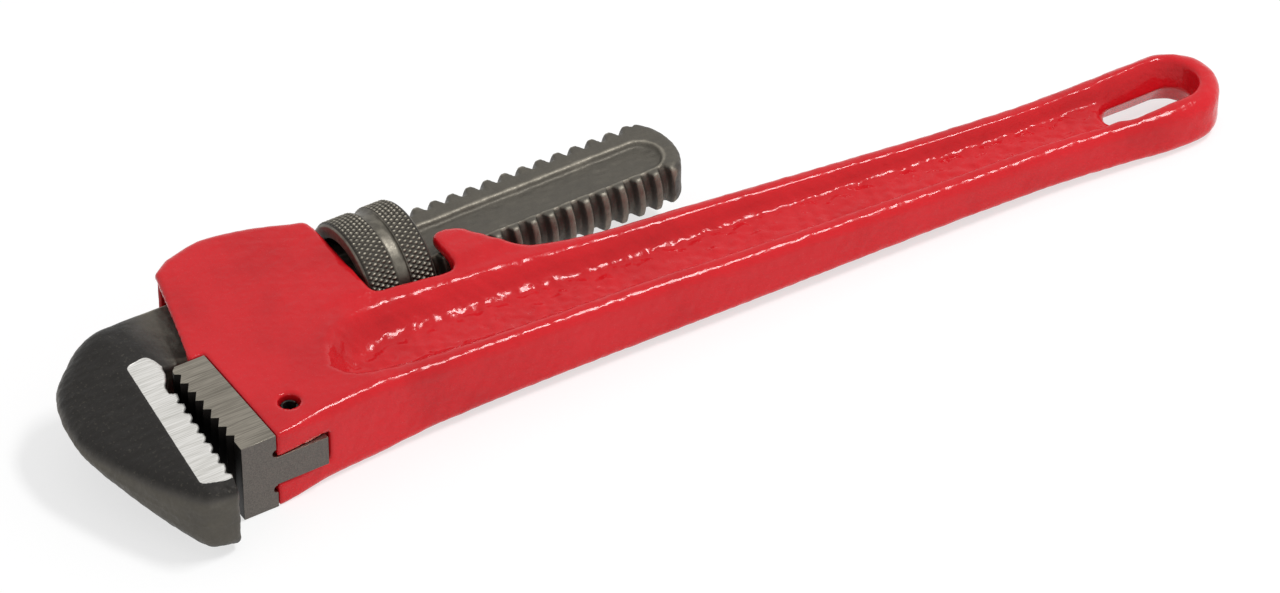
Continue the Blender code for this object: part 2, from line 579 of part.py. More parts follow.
def build_hook_jaw(finish, parent):
    """Forged hook jaw and shank: outlines stacked in height, then the two long panels."""
    levels = np.sin(np.radians([-90, -62, -38, -17, 0, 17, 38, 62, 90]))
    bm = loft([at_height(hook_outline(level), level) for level in levels])
    for x in (NECK_RAMP_START_X, NECK_RAMP_START_X - NECK_RAMP_LENGTH):
        crease(bm, (x, 0, 0), (1, 0, 0))
    crease(bm, (wedge_edge_x(0), 0, 0), (1, -CHEEK_LINE_SLOPE, 0))
    set_heights(bm, hook_half_thickness)
    bmesh.ops.triangulate(bm, faces=bm.faces)
    origin = (0, SHANK_AXIS_Y, 0)
    jaw = add_piece("hook_jaw", bm, finish, parent, origin, 28)
    jaw["origin"] = origin
    radius = (PANEL_NEAR + PANEL_FAR) / 2
    centre_y = SHANK_AXIS_Y + (PANEL_FAR - PANEL_NEAR) / 2
    panel = slot_outline(PANEL_START_X, SHANK_REACH - PANEL_END_LAND, centre_y, radius)
    sunk = inset(panel, 0.6 * MM)
    floor, top = SHANK_HALF - PANEL_DEPTH, SHANK_HALF + 1 * MM
    shape_with(jaw, loft([at_height(sunk, floor), at_height(panel, top)]), "upper_panel")
    shape_with(jaw, loft([at_height(sunk, -floor), at_height(panel, -top)]), "lower_panel")
    return jaw


def build_heel_jaw(finish, parent):
    """Heel jaw: the toothed plan shape met with the tongued end shape, then the pin hole."""
    tip_x, root_x = -HEEL_TIP_DEPTH, HEEL_TOOTH_DEPTH - HEEL_TIP_DEPTH
    far_y = HEEL_JAW_LENGTH
    plan = [(TONGUE_LENGTH, 0), (TONGUE_LENGTH, far_y), (tip_x + 0.6 * MM + HEEL_CORNER, far_y),
            (tip_x + 0.6 * MM, far_y - HEEL_CORNER)]
    count = int((HEEL_JAW_LENGTH - HEEL_NEAR_LAND) / HEEL_TOOTH_PITCH) + 1
    for number in range(count - 1, -1, -1):
        root_y = HEEL_NEAR_LAND + number * HEEL_TOOTH_PITCH
        if number < count - 1:
            plan.append((tip_x, root_y + 0.26 * HEEL_TOOTH_PITCH))
        else:
            plan.append((tip_x + 0.3 * MM, root_y + 0.26 * HEEL_TOOTH_PITCH))
        plan.append((root_x, root_y))
    plan += [(tip_x + 0.6 * MM, 0.65 * HEEL_NEAR_LAND), (tip_x + 0.5 * MM, 0)]
    jaw = add_piece("heel_jaw", prism(np.array(plan), -BODY_HALF, BODY_HALF), finish, parent, (0, 0, 0))
    jaw["origin"] = (0, 0, 0)
    half = TONGUE_THICKNESS / 2
    relief_z = half + RELIEF_RADIUS + 0.25 * MM
    far_x, deep_x, seat_x = TONGUE_LENGTH + 3 * MM, -HEEL_TIP_DEPTH - 3 * MM, -SEAT_GAP
    section = np.vstack([[(deep_x, -BODY_THICKNESS), (seat_x, -BODY_THICKNESS)],
                         arc((seat_x, -relief_z), RELIEF_RADIUS, 270, 90, 6),
                         [(seat_x, -half), (far_x, -half), (far_x, half), (seat_x, half)],
                         arc((seat_x, relief_z), RELIEF_RADIUS, 270, 90, 6),
                         [(seat_x, BODY_THICKNESS), (deep_x, BODY_THICKNESS)]])
    rings = [np.column_stack([section[:, 0], np.full(len(section), y), section[:, 1]])
             for y in (far_y + 3 * MM, -3 * MM)]
    shape_with(jaw, loft(rings), "tongue_section", "INTERSECT")
    shape_with(jaw, pin_hole_cutter(), "jaw_pin_hole")
    return jaw


def build_heel_jaw_pin(finish, parent):
    """Slotted spring pin: an open ring section with tapered ends."""
    half_gap = math.degrees(math.asin(PIN_SLOT / 2 / (PIN_RADIUS - PIN_WALL)))
    half = BODY_HALF - PIN_RECESS
    rings = []
    taper, lead = 0.3 * MM, 0.8 * MM
    for z, shrink in ((-half, taper), (lead - half, 0), (half - lead, 0), (half, taper)):
        outer = arc((0, 0), PIN_RADIUS - shrink, half_gap, 360 - half_gap, 22)
        inner = arc((0, 0), PIN_RADIUS - PIN_WALL, 360 - half_gap, half_gap, 22)
        rings.append(at_height(np.vstack([outer, inner]) + (PIN_X, PIN_Y), z))
    return add_piece("heel_jaw_pin", loft(rings), finish, parent, (PIN_X, PIN_Y, 0))


def tap(low_x, high_x, steps=32):
    """Return the helical tool that threads the nut, larger than the shank's thread all round."""
    grow = THREAD_CLEARANCE / math.cos(math.atan(FLANK_SLOPE))
    crest_half = CREST_WIDTH / 2 + grow - THREAD_CLEARANCE * FLANK_SLOPE
    depth = THREAD_DEPTH + 0.3 * MM
    crest, root = CREST_RADIUS + THREAD_CLEARANCE, CREST_RADIUS + THREAD_CLEARANCE - depth
    flank = depth * FLANK_SLOPE
    profile = [(-crest_half, crest), (crest_half, crest), (crest_half + flank, root),
               (THREAD_PITCH - crest_half - flank, root)]
    first = math.floor((low_x - CREST_CENTRE_X) / THREAD_PITCH)
    last = math.ceil((high_x - CREST_CENTRE_X) / THREAD_PITCH)
    corners = [(CREST_CENTRE_X + turn * THREAD_PITCH + x, r)
               for turn in range(first, last + 1) for x, r in profile]
    bm = bmesh.new()
    rows = []
    for step in range(steps):
        angle = 2 * math.pi * step / steps
        rise = THREAD_PITCH * step / steps
        rows.append([bm.verts.new((x + rise, SHANK_AXIS_Y + r * math.cos(angle), r * math.sin(angle)))
                     for x, r in corners])
    count = len(corners) - len(profile)
    for step in range(steps):
        row, shift = rows[step], 0
        following = rows[(step + 1) % steps]
        if step == steps - 1:
            shift = len(profile)
        for i in range(count - 1):
            bm.faces.new((row[i], row[i + 1], following[i + 1 + shift], following[i + shift]))
    close_tap(bm, rows, len(profile), count)
    bmesh.ops.recalc_face_normals(bm, faces=bm.faces)
    loose = [vert for vert in bm.verts if not vert.link_faces]
    bmesh.ops.delete(bm, geom=loose, context="VERTS")
    return bm


def close_tap(bm, rows, turn, count):
    """Fan both ends of the helical tool to points on its axis."""
    for end, hub_shift in ((0, THREAD_PITCH), (count - 1, 0)):
        rim = [row[end] for row in rows] + [rows[0][end + k] for k in range(turn, 0, -1)]
        hub = bm.verts.new((rim[0].co.x + hub_shift, SHANK_AXIS_Y, 0))
        for one, other in zip(rim, rim[1:] + rim[:1]):
            bm.faces.new((hub, one, other))


def build_nut(finish, parent):
    """Adjusting nut: a turned blank with a groove between its two bands, then the thread."""
    front, rear = NUT_FRONT_X, NUT_FRONT_X + NUT_LENGTH
    bore = ROOT_RADIUS + THREAD_CLEARANCE
    mouth = CREST_RADIUS + 2 * THREAD_CLEARANCE
    groove = front + NUT_FRONT_BAND
    slope = 0.4 * MM
    profile = [(front, mouth), (front, NUT_RADIUS - NUT_CHAMFER), (front + NUT_CHAMFER, NUT_RADIUS),
               (groove, NUT_RADIUS), (groove + slope, NUT_RADIUS - NUT_GROOVE_DEPTH),
               (groove + NUT_GROOVE_WIDTH - slope, NUT_RADIUS - NUT_GROOVE_DEPTH),
               (groove + NUT_GROOVE_WIDTH, NUT_RADIUS), (rear - NUT_CHAMFER, NUT_RADIUS),
               (rear, NUT_RADIUS - NUT_CHAMFER), (rear, mouth), (rear - (mouth - bore), bore),
               (front + (mouth - bore), bore)]
    bm = turned(profile, 40)
    bmesh.ops.translate(bm, vec=(0, SHANK_AXIS_Y, 0), verts=bm.verts)
    origin = (NUT_FRONT_X, SHANK_AXIS_Y, 0)
    nut = add_piece("adjusting_nut", bm, finish, parent, origin)
    nut["origin"] = origin
    shape_with(nut, tap(front - 2 * THREAD_PITCH, rear + 2 * THREAD_PITCH), "nut_thread")
    return nut


def build_flat_spring(finish, parent, origin):
    """Bowed leaf behind the shank: its ends bear on the shank and its crown on the housing."""
    low = SHANK_BACK_Y + SPRING_GAP + LEAF_THICKNESS / 2
    crown = SHANK_BACK_Y + SPRING_SPACE - SPRING_GAP - LEAF_THICKNESS / 2 - 0.35 * MM
    last_x = WINDOW_FRONT_X - 2 * MM
    middle = curve_through([(last_x, low), (0.8 * WINDOW_FRONT_X, low + 0.2 * MM),
                            (0.45 * WINDOW_FRONT_X, crown), (LEAF_FREE_X + 3 * MM, low + 0.8 * MM),
                            (LEAF_FREE_X, low + 0.2 * MM), (LEAF_FREE_X - 2 * MM, low + 0.8 * MM)], 5)
    along = np.gradient(middle, axis=0)
    normal = np.stack([-along[:, 1], along[:, 0]], 1) / np.linalg.norm(along, axis=1)[:, None]
    outline = np.vstack([middle + normal * LEAF_THICKNESS / 2, (middle - normal * LEAF_THICKNESS / 2)[::-1]])
    return add_piece("flat_spring", prism(outline, -LEAF_WIDTH / 2, LEAF_WIDTH / 2), finish, parent, origin)


def build_coil_spring(finish, parent):
    """Coil spring in its blind pocket, pressing on the shank's near edge."""
    low = PASSAGE_NEAR_Y - COIL_POCKET_DEPTH + SPRING_GAP + COIL_WIRE_RADIUS
    high = SHANK_AXIS_Y - CREST_RADIUS - SPRING_GAP - COIL_WIRE_RADIUS
    steps = 14 * COIL_TURNS
    turns = np.linspace(0, COIL_TURNS, steps + 1)
    rise = np.interp(turns, [0, 0.75, COIL_TURNS - 0.75, COIL_TURNS],
                     [low, low + 2.1 * COIL_WIRE_RADIUS * 0.75, high - 2.1 * COIL_WIRE_RADIUS * 0.75, high])
    angle = 2 * math.pi * turns
    centre = np.column_stack([COIL_X + COIL_RADIUS * np.cos(angle), rise, COIL_RADIUS * np.sin(angle)])
    outward = np.column_stack([np.cos(angle), np.zeros(steps + 1), np.sin(angle)])
    upward = np.array([0, 1, 0])
    rings = [np.array([place + COIL_WIRE_RADIUS * (math.cos(a) * out + math.sin(a) * upward)
                       for a in np.linspace(0, 2 * math.pi, 8, endpoint=False)])
             for place, out in zip(centre, outward)]
    return add_piece("coil_spring", loft(rings), finish, parent, (COIL_X, low, 0), 50)


def centre_assembly(root, pieces):
    """Move the root so that the origin lies below the middle of the assembly's box."""
    bpy.context.view_layer.update()
    graph = bpy.context.evaluated_depsgraph_get()
    corners = []
    for piece in pieces:
        shown = piece.evaluated_get(graph)
        mesh = shown.to_mesh()
        corners += [shown.matrix_world @ vert.co for vert in mesh.vertices]
        shown.to_mesh_clear()
    corners = np.array(corners)
    low, high = corners.min(axis=0), corners.max(axis=0)
    root.location = (-(low[0] + high[0]) / 2, -(low[1] + high[1]) / 2, -low[2])


def main():
    """Clear the file, build every piece in place and centre the assembly."""
    for old in list(bpy.data.objects):
        bpy.data.objects.remove(old, do_unlink=True)
    enamel = material("red_enamel", (0.58, 0.045, 0.045), 0.3, 0.0)
    forged = material("forged_steel", (0.075, 0.07, 0.062), 0.5, 0.9)
    ground = material("ground_steel", (0.32, 0.31, 0.29), 0.35, 1.0)
    blackened = material("blackened_steel", (0.09, 0.085, 0.078), 0.45, 1.0)
    spring = material("spring_steel", (0.2, 0.21, 0.22), 0.35, 1.0)
    root = add_frame("wrench", (0, 0, 0))
    rock_axis = add_frame("jaw_rock_axis", (NUT_FRONT_X, SHANK_AXIS_Y, 0), root)
    pieces = [build_handle(enamel, root), build_heel_jaw(ground, root), build_heel_jaw_pin(blackened, root),
              build_coil_spring(spring, root),
              build_flat_spring(spring, rock_axis, (NUT_FRONT_X, SHANK_AXIS_Y, 0)),
              build_hook_jaw(forged, rock_axis), build_nut(blackened, rock_axis)]
    centre_assembly(root, pieces)


main()
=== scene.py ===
"""The looks of a straight pipe wrench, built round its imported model.

Cast and forged pieces are level surfaces of a distance field: a plan outline with a rounded
edge, given a thickness, less its recesses and passages.  The nut and the coil spring are grids
of two parameters.  Shape sizes are millimetres in the wrench's working frame: x from the heel
jaw's seat towards the handle's end, y from the heel jaw's open end towards the shank, z from
the middle plane of the casting.  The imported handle's box says where that frame lies.
"""
import logging
import math
from dataclasses import dataclass, field
from enum import Enum
from typing import Callable, Sequence

import bmesh
import bpy
import numpy as np
from mathutils import Matrix, Vector


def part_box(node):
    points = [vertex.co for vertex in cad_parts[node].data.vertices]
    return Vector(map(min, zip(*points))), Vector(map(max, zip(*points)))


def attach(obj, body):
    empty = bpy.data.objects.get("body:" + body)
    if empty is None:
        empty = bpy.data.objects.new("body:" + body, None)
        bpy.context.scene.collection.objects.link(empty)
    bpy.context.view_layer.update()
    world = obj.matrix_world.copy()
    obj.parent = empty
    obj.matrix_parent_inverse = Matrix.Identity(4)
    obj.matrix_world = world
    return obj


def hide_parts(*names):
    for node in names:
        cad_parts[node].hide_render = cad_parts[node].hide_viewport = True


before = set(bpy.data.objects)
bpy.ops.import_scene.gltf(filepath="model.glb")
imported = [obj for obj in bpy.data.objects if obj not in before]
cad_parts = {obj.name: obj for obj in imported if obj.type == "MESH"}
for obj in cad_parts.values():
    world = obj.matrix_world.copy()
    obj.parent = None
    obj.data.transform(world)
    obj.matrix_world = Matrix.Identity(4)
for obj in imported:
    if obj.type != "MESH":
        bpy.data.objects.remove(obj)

LOG = logging.getLogger("pipe_wrench")
MM = 0.001
Array = np.ndarray
Field = Callable[[Array, Array, Array], Array]
Piece = bpy.types.Object
Material = bpy.types.Material
Tree = bpy.types.NodeTree
Socket = bpy.types.NodeSocket


class Slot(Enum):
    """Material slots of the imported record."""

    ENAMEL = "red_enamel"
    FORGED = "forged_steel"
    GROUND = "ground_steel"
    BLACKENED = "blackened_steel"
    SPRING = "spring_steel"


class Kind(Enum):
    """Kinds of shader node, by Blender's names."""

    ATTRIBUTE = "ShaderNodeAttribute"
    BACKGROUND = "ShaderNodeBackground"
    BUMP = "ShaderNodeBump"
    COLOUR_RAMP = "ShaderNodeValToRGB"
    COORDINATES = "ShaderNodeTexCoord"
    DIFFUSE = "ShaderNodeBsdfDiffuse"
    EMISSION = "ShaderNodeEmission"
    LIGHT_PATH = "ShaderNodeLightPath"
    MAPPING = "ShaderNodeMapping"
    MATHS = "ShaderNodeMath"
    MIX = "ShaderNodeMix"
    MIX_SHADER = "ShaderNodeMixShader"
    NOISE = "ShaderNodeTexNoise"
    REMAP = "ShaderNodeMapRange"
    TO_MATERIAL = "ShaderNodeOutputMaterial"
    TO_WORLD = "ShaderNodeOutputWorld"


def smooth_least(a: Array, b: Array, blend: float) -> Array:
    """Return the lower of two fields with the corner between them rounded.

    Where they differ by less than blend, a quarter of blend times the square of the closeness
    is taken off.

    Args:
        a: First field, in millimetres.
        b: Second field.
        blend: Difference below which the two run together.

    Returns:
        The rounded minimum.
    """
    close = np.maximum(blend - np.abs(a - b), 0) / blend
    return np.minimum(a, b) - close * close * blend / 4


def smooth_most(a: Array, b: Array, blend: float) -> Array:
    """Return the higher of two fields with the corner between them rounded."""
    return -smooth_least(-a, -b, blend)


def ramp(value: Array, start: float, end: float) -> Array:
    """Return 0 before start, 1 after end, and the cubic 3t^2 - 2t^3 between."""
    t = np.clip((value - start) / (end - start), 0, 1)
    return t * t * (3 - 2 * t)


def curve_through(points: Sequence[Sequence[float]], steps: int = 10) -> Array:
    """Return a smooth open curve: a cubic in each span, tangent to its neighbours' chord.

    Args:
        points: Rows of any number of columns, such as x, y and edge radius.
        steps: Points in each span.

    Returns:
        One row for each point of the curve.
    """
    rows = np.asarray(points, float)
    padded = np.vstack([2 * rows[0] - rows[1], rows, 2 * rows[-1] - rows[-2]])
    t = (np.arange(steps) / steps)[None, :, None]
    a, b, c, d = (padded[k:len(rows) - 1 + k, None, :] for k in range(4))
    spans = (b + t * (c - a) / 2 + t ** 2 * (a - 2.5 * b + 2 * c - d / 2)
             + t ** 3 * (1.5 * (b - c) + (d - a) / 2))
    return np.vstack([spans.reshape(-1, rows.shape[1]), rows[-1:]])


def arc(centre: Sequence[float], radius: float, start: float, end: float, steps: int = 12) -> Array:
    """Return points on a circle between two angles, in degrees."""
    angles = np.radians(np.linspace(start, end, steps + 1))
    return np.column_stack([centre[0] + radius * np.cos(angles), centre[1] + radius * np.sin(angles)])


def with_radius(points: Array, radius: float) -> Array:
    """Add the same edge radius to every point of an outline."""
    return np.column_stack([points, np.full(len(points), radius)])


def slot_distance(x: Array, y: Array, start: float, end: float, centre_y: Array, radius: Array) -> Array:
    """Return the distance outside a slot along x with round ends, negative inside it."""
    along = np.maximum(np.maximum(start - x, x - end), 0)
    return np.hypot(along, y - centre_y) - radius


@dataclass
class PlanOutline:
    """A closed outline seen from above, as a signed distance sampled on a fine grid.

    Each point also carries the radius of the rounded edge there.  The distance is to the
    nearest stretch of the outline, and it is negative where a ray crosses the outline an odd
    number of times.

    Attributes:
        points: Rows of x, y and edge radius.
        cell: Grid spacing.
        margin: How far the grid runs past the outline.
    """

    points: Array
    cell: float = 0.4
    margin: float = 4.0
    low: Array = field(init=False)
    distance: Array = field(init=False)
    radius: Array = field(init=False)

    def __post_init__(self) -> None:
        """Sample the grid, a band of rows at a time to bound the memory."""
        self.low = self.points[:, :2].min(axis=0) - self.margin
        high = self.points[:, :2].max(axis=0) + self.margin
        across, up = (np.arange(self.low[k], high[k] + self.cell, self.cell) for k in range(2))
        x, y = np.meshgrid(across, up, indexing="ij")
        bands = [self.measure(*band) for band in zip(np.array_split(x.ravel(), 24),
                                                     np.array_split(y.ravel(), 24))]
        self.distance, self.radius = (np.concatenate([band[k] for band in bands]).reshape(x.shape)
                                      for k in range(2))

    def measure(self, x: Array, y: Array) -> tuple[Array, Array]:
        """Measure straight to the outline's stretches.

        Args:
            x, y: Points of the plane, as flat arrays.

        Returns:
            The signed distance and the edge radius at the nearest place of the outline.
        """
        start, end = self.points, np.roll(self.points, -1, axis=0)
        run = end - start
        ahead_x, ahead_y = x[:, None] - start[:, 0], y[:, None] - start[:, 1]
        length = np.maximum(run[:, 0] ** 2 + run[:, 1] ** 2, 1e-12)
        share = np.clip((ahead_x * run[:, 0] + ahead_y * run[:, 1]) / length, 0, 1)
        away = (ahead_x - share * run[:, 0]) ** 2 + (ahead_y - share * run[:, 1]) ** 2
        nearest = away.argmin(axis=1)
        picked = np.arange(len(x)), nearest
        spans = (start[:, 1] > y[:, None]) != (end[:, 1] > y[:, None])
        slope = run[:, 0] / np.where(np.abs(run[:, 1]) < 1e-12, 1e-12, run[:, 1])
        crossings = (spans & (ahead_x < ahead_y * slope)).sum(axis=1)
        distance = np.sqrt(away[picked]) * np.where(crossings % 2, -1, 1)
        return distance, start[nearest, 2] + share[picked] * run[nearest, 2]

    def at(self, x: Array, y: Array) -> tuple[Array, Array]:
        """Read the grid, with values between its points weighted by shares of area.

        Args:
            x, y: Points of the plane, as arrays that broadcast.

        Returns:
            The signed distance and the edge radius.
        """
        u, v = ((value - low) / self.cell for value, low in zip((x, y), self.low))
        u, v = (np.clip(value, 0, count - 1.001) for value, count in zip((u, v), self.distance.shape))
        i, j = u.astype(int), v.astype(int)
        s, t = u - i, v - j
        both = []
        for table in (self.distance, self.radius):
            both.append((1 - s) * ((1 - t) * table[i, j] + t * table[i, j + 1])
                        + s * ((1 - t) * table[i + 1, j] + t * table[i + 1, j + 1]))
        return both[0], both[1]


def rounded_slab(edge: Array, above: Array, radius: Array) -> Array:
    """Return the distance to a slab from its plan edge and its face, with that edge rounded."""
    out, up = edge + radius, above + radius
    return (np.minimum(np.maximum(out, up), 0)
            + np.hypot(np.maximum(out, 0), np.maximum(up, 0)) - radius)


def surface_of(shape: Field, low: Sequence[float], high: Sequence[float], cell: float) -> tuple[Array, Array]:
    """Mesh the zero level of a field with one point in each grid cell that it crosses.

    The point is the mean of the crossings on the cell's edges, then it is moved along the
    field's slope on to the level.  Each grid edge that is crossed joins its four cells.

    Args:
        shape: Field, negative inside, that takes arrays of x, y and z.
        low: Lowest corner of the grid.
        high: Highest corner.
        cell: Grid spacing.

    Returns:
        Points, and four-sided faces that point outwards.
    """
    axes = [np.arange(low[k], high[k] + cell, cell) for k in range(3)]
    values = shape(axes[0][:, None, None], axes[1][None, :, None], axes[2][None, None, :])
    inside = values < 0
    parts = [inside[i:inside.shape[0] - 1 + i, j:inside.shape[1] - 1 + j, k:inside.shape[2] - 1 + k]
             for i in (0, 1) for j in (0, 1) for k in (0, 1)]
    count = np.sum(parts, axis=0, dtype=np.int8)
    cells = np.argwhere((count > 0) & (count < 8))
    number = np.full(count.shape, -1)
    number[tuple(cells.T)] = np.arange(len(cells))
    total, crossings = np.zeros((len(cells), 3)), np.zeros(len(cells))
    faces = []
    for axis in range(3):
        step = np.eye(3, dtype=int)[axis]
        one, other = np.eye(3, dtype=int)[(axis + 1) % 3], np.eye(3, dtype=int)[(axis + 2) % 3]
        for shift in (0 * one, one, other, one + other):
            start = cells + shift
            first, last = values[tuple(start.T)], values[tuple((start + step).T)]
            cut = (first < 0) != (last < 0)
            share = np.where(cut, first / np.where(cut, first - last, 1), 0)
            total += cut[:, None] * (start + share[:, None] * step)
            crossings += cut
        before = np.take(inside, range(inside.shape[axis] - 1), axis)
        after = np.take(inside, range(1, inside.shape[axis]), axis)
        edges = np.argwhere(before != after)
        ring = [number[tuple((edges - shift).T)] for shift in (one + other, other, 0 * one, one)]
        quads = np.stack(ring, axis=1)
        leaving = before[tuple(edges.T)]
        faces.append(np.where(leaving[:, None], quads, quads[:, ::-1]))
    points = np.array(low) + cell * total / crossings[:, None]
    return settled(shape, points, 0.45 * cell), np.vstack(faces)


def settled(shape: Field, points: Array, reach: float) -> Array:
    """Move points on to the zero level: each step is the value over the slope, along the slope.

    Args:
        shape: Field that takes arrays of x, y and z.
        points: Rows of x, y and z close to the level.
        reach: Longest step.

    Returns:
        The moved points.
    """
    probe, rounds, least_slope = 0.04, 3, 0.1
    for _ in range(rounds):
        value = shape(*points.T)
        ahead = [shape(*(points + probe * step).T) for step in np.eye(3)]
        slope = (np.stack(ahead, axis=1) - value[:, None]) / probe
        size = np.maximum((slope ** 2).sum(axis=1), least_slope)
        move = -value[:, None] * slope / size[:, None]
        length = np.maximum(np.linalg.norm(move, axis=1), 1e-9)[:, None]
        points = points + move * np.minimum(1, reach / length)
    return points


@dataclass(frozen=True)
class CastTexture:
    """The skin of a sand casting or a forging: waves of many lengths and directions added up.

    Attributes:
        seed: Seed of the random draws.
        shortest: Shortest wave.
        longest: Longest wave.
        count: Number of waves.
    """

    seed: int
    shortest: float
    longest: float
    count: int = 26

    def height(self, x: Array, y: Array, z: Array) -> Array:
        """Add up sines of the distance along each wave's direction, over its length.

        Args:
            x, y, z: Points in the working frame.

        Returns:
            The height, with a spread of about one.
        """
        draw = np.random.default_rng(self.seed)
        turns = draw.normal(size=(self.count, 3))
        turns /= np.linalg.norm(turns, axis=1)[:, None]
        lengths = self.shortest * (self.longest / self.shortest) ** draw.random(self.count)
        phases = draw.random(self.count) * 2 * math.pi
        total = 0.0
        for turn, length, phase in zip(turns, lengths, phases):
            wave = 2 * math.pi / length
            total = total + np.sin(wave * (turn[0] * x + turn[1] * y + turn[2] * z) + phase)
        return total * math.sqrt(2 / self.count)


def put_in_scene(name: str, data: bpy.types.ID) -> Piece:
    """Make an object in the scene, at the origin.

    Args:
        name: Name of the object.
        data: Its mesh, lamp or camera.

    Returns:
        The new object.
    """
    made = bpy.data.objects.new(name, data)
    bpy.context.scene.collection.objects.link(made)
    return made


@dataclass(frozen=True)
class Place:
    """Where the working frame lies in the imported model, in metres."""

    origin: Vector

    @staticmethod
    def of_handle(lip_reach: float, back_y: float) -> "Place":
        """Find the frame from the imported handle: its lip is its lowest x, its back its highest y."""
        low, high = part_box("handle")
        return Place(Vector((low.x + lip_reach * MM, high.y - back_y * MM, (low.z + high.z) / 2)))

    def mesh(self, name: str, points: Array, faces: Array) -> Piece:
        """Make a smooth-shaded object from working points and equal-sided faces.

        Args:
            name: Name of the piece.
            points: Rows of x, y and z in millimetres.
            faces: Rows of point numbers.

        Returns:
            The new object, at the origin with its place in its mesh.
        """
        made = bpy.data.meshes.new(name)
        sides = faces.shape[1]
        made.vertices.add(len(points))
        made.loops.add(faces.size)
        made.polygons.add(len(faces))
        made.vertices.foreach_set("co", (points * MM + np.array(self.origin)).astype(np.float32).ravel())
        made.loops.foreach_set("vertex_index", faces.astype(np.int32).ravel())
        made.polygons.foreach_set("loop_start", np.arange(len(faces), dtype=np.int32) * sides)
        made.update(calc_edges=True)
        made.validate()
        made.shade_smooth()
        return put_in_scene(name, made)


def add_attribute(piece: Piece, name: str, values: Array) -> None:
    """Store one number for each point of a piece."""
    made = piece.data.attributes.new(name, "FLOAT", "POINT")
    made.data.foreach_set("value", values.astype(np.float32))


def grid_faces(rows: int, columns: int, closed_rows: bool) -> Array:
    """Join a grid of points whose columns wrap round: each face takes four neighbours.

    Args:
        rows: Number of rows.
        columns: Points in each row.
        closed_rows: Whether the last row joins the first.

    Returns:
        Rows of four point numbers.
    """
    last = rows if closed_rows else rows - 1
    i, j = np.meshgrid(np.arange(last), np.arange(columns), indexing="ij")
    below, beside = (i + 1) % rows, (j + 1) % columns
    return np.stack([i * columns + j, i * columns + beside, below * columns + beside,
                     below * columns + j], axis=-1).reshape(-1, 4)


def merged_copy(node: str, name: str) -> Piece:
    """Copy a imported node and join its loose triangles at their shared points.

    Args:
        node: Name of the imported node.
        name: Name of the copy.

    Returns:
        The copy, with its flat faces whole again.
    """
    piece = put_in_scene(name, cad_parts[node].data.copy())
    same_point, flat = 1e-6, math.radians(0.5)
    bm = bmesh.new()
    bm.from_mesh(piece.data)
    bmesh.ops.remove_doubles(bm, verts=bm.verts, dist=same_point)
    bmesh.ops.dissolve_limit(bm, angle_limit=flat, verts=bm.verts, edges=bm.edges)
    bm.to_mesh(piece.data)
    bm.free()
    return piece


def break_edges(piece: Piece, width: float) -> None:
    """Round the sharp edges of a machined piece, as a deburring pass leaves them.

    Args:
        piece: Piece whose neighbouring triangles are joined.
        width: Width of the rounding, in millimetres.
    """
    rounded_from, shaded_from = math.radians(28), math.radians(40)
    step = piece.modifiers.new("broken_edges", "BEVEL")
    step.width = width * MM
    step.segments = 2
    step.limit_method = "ANGLE"
    step.angle_limit = rounded_from
    step.harden_normals = False
    piece.data.shade_smooth()
    piece.data.set_sharp_from_angle(angle=shaded_from)


def linear(colour: str) -> tuple[float, float, float, float]:
    """Turn an sRGB hex colour into linear red, green, blue and alpha."""
    parts = [int(colour[k:k + 2], 16) / 255 for k in (1, 3, 5)]
    return (*(c / 12.92 if c <= 0.04045 else ((c + 0.055) / 1.055) ** 2.4 for c in parts), 1.0)


def feed(node: bpy.types.Node, inputs: dict | Sequence) -> None:
    """Fill or link a node's inputs.

    Args:
        node: Node to feed.
        inputs: Input name or number to a value or to the output that feeds it, or a list of
            these for the first inputs in order.
    """
    for key, value in (inputs.items() if isinstance(inputs, dict) else enumerate(inputs)):
        if isinstance(value, Socket):
            node.id_data.links.new(value, node.inputs[key])
        else:
            node.inputs[key].default_value = value


def add_node(tree: Tree, kind: Kind, inputs: dict | Sequence = (), output: int | str = 0,
             stops: Sequence[tuple[float, str]] = (), **settings: str) -> Socket | None:
    """Add a node, set its properties and feed its inputs.

    Args:
        tree: Node tree of a material or the world.
        kind: Kind of the node.
        inputs: What feed takes.
        output: Name or number of the output that is wanted.
        stops: Places and sRGB hex colours of a colour ramp.
        **settings: Properties of the node.

    Returns:
        The wanted output, or None for a node that has no outputs.
    """
    node = tree.nodes.new(kind.value)
    for name, value in settings.items():
        setattr(node, name, value)
    feed(node, inputs)
    if stops:
        marks = node.color_ramp.elements
        for _ in stops[2:]:
            marks.new(0.5)
        for mark, (place, colour) in zip(marks, stops):
            mark.position = place
            mark.color = linear(colour)
    return node.outputs[output] if node.outputs else None


@dataclass(frozen=True)
class Finish:
    """What every finish shares: a name, a Principled shader and patterns scaled in millimetres.

    Widths are the size of a pattern's largest grains, and depths the full height of its bumps.
    """

    name: str
    roughness: float
    metallic: float

    def start(self) -> tuple[Material, Tree, bpy.types.Node, Socket]:
        """Make the material.

        Returns:
            The material, its tree, its shader, and Object coordinates turned to millimetres.
        """
        made = bpy.data.materials.new(self.name)
        made.use_nodes = True
        tree = made.node_tree
        shader = tree.nodes["Principled BSDF"]
        feed(shader, {"Roughness": self.roughness, "Metallic": self.metallic})
        place = add_node(tree, Kind.COORDINATES, output="Object")
        return made, tree, shader, add_node(tree, Kind.MAPPING, {"Vector": place, "Scale": (1 / MM,) * 3})


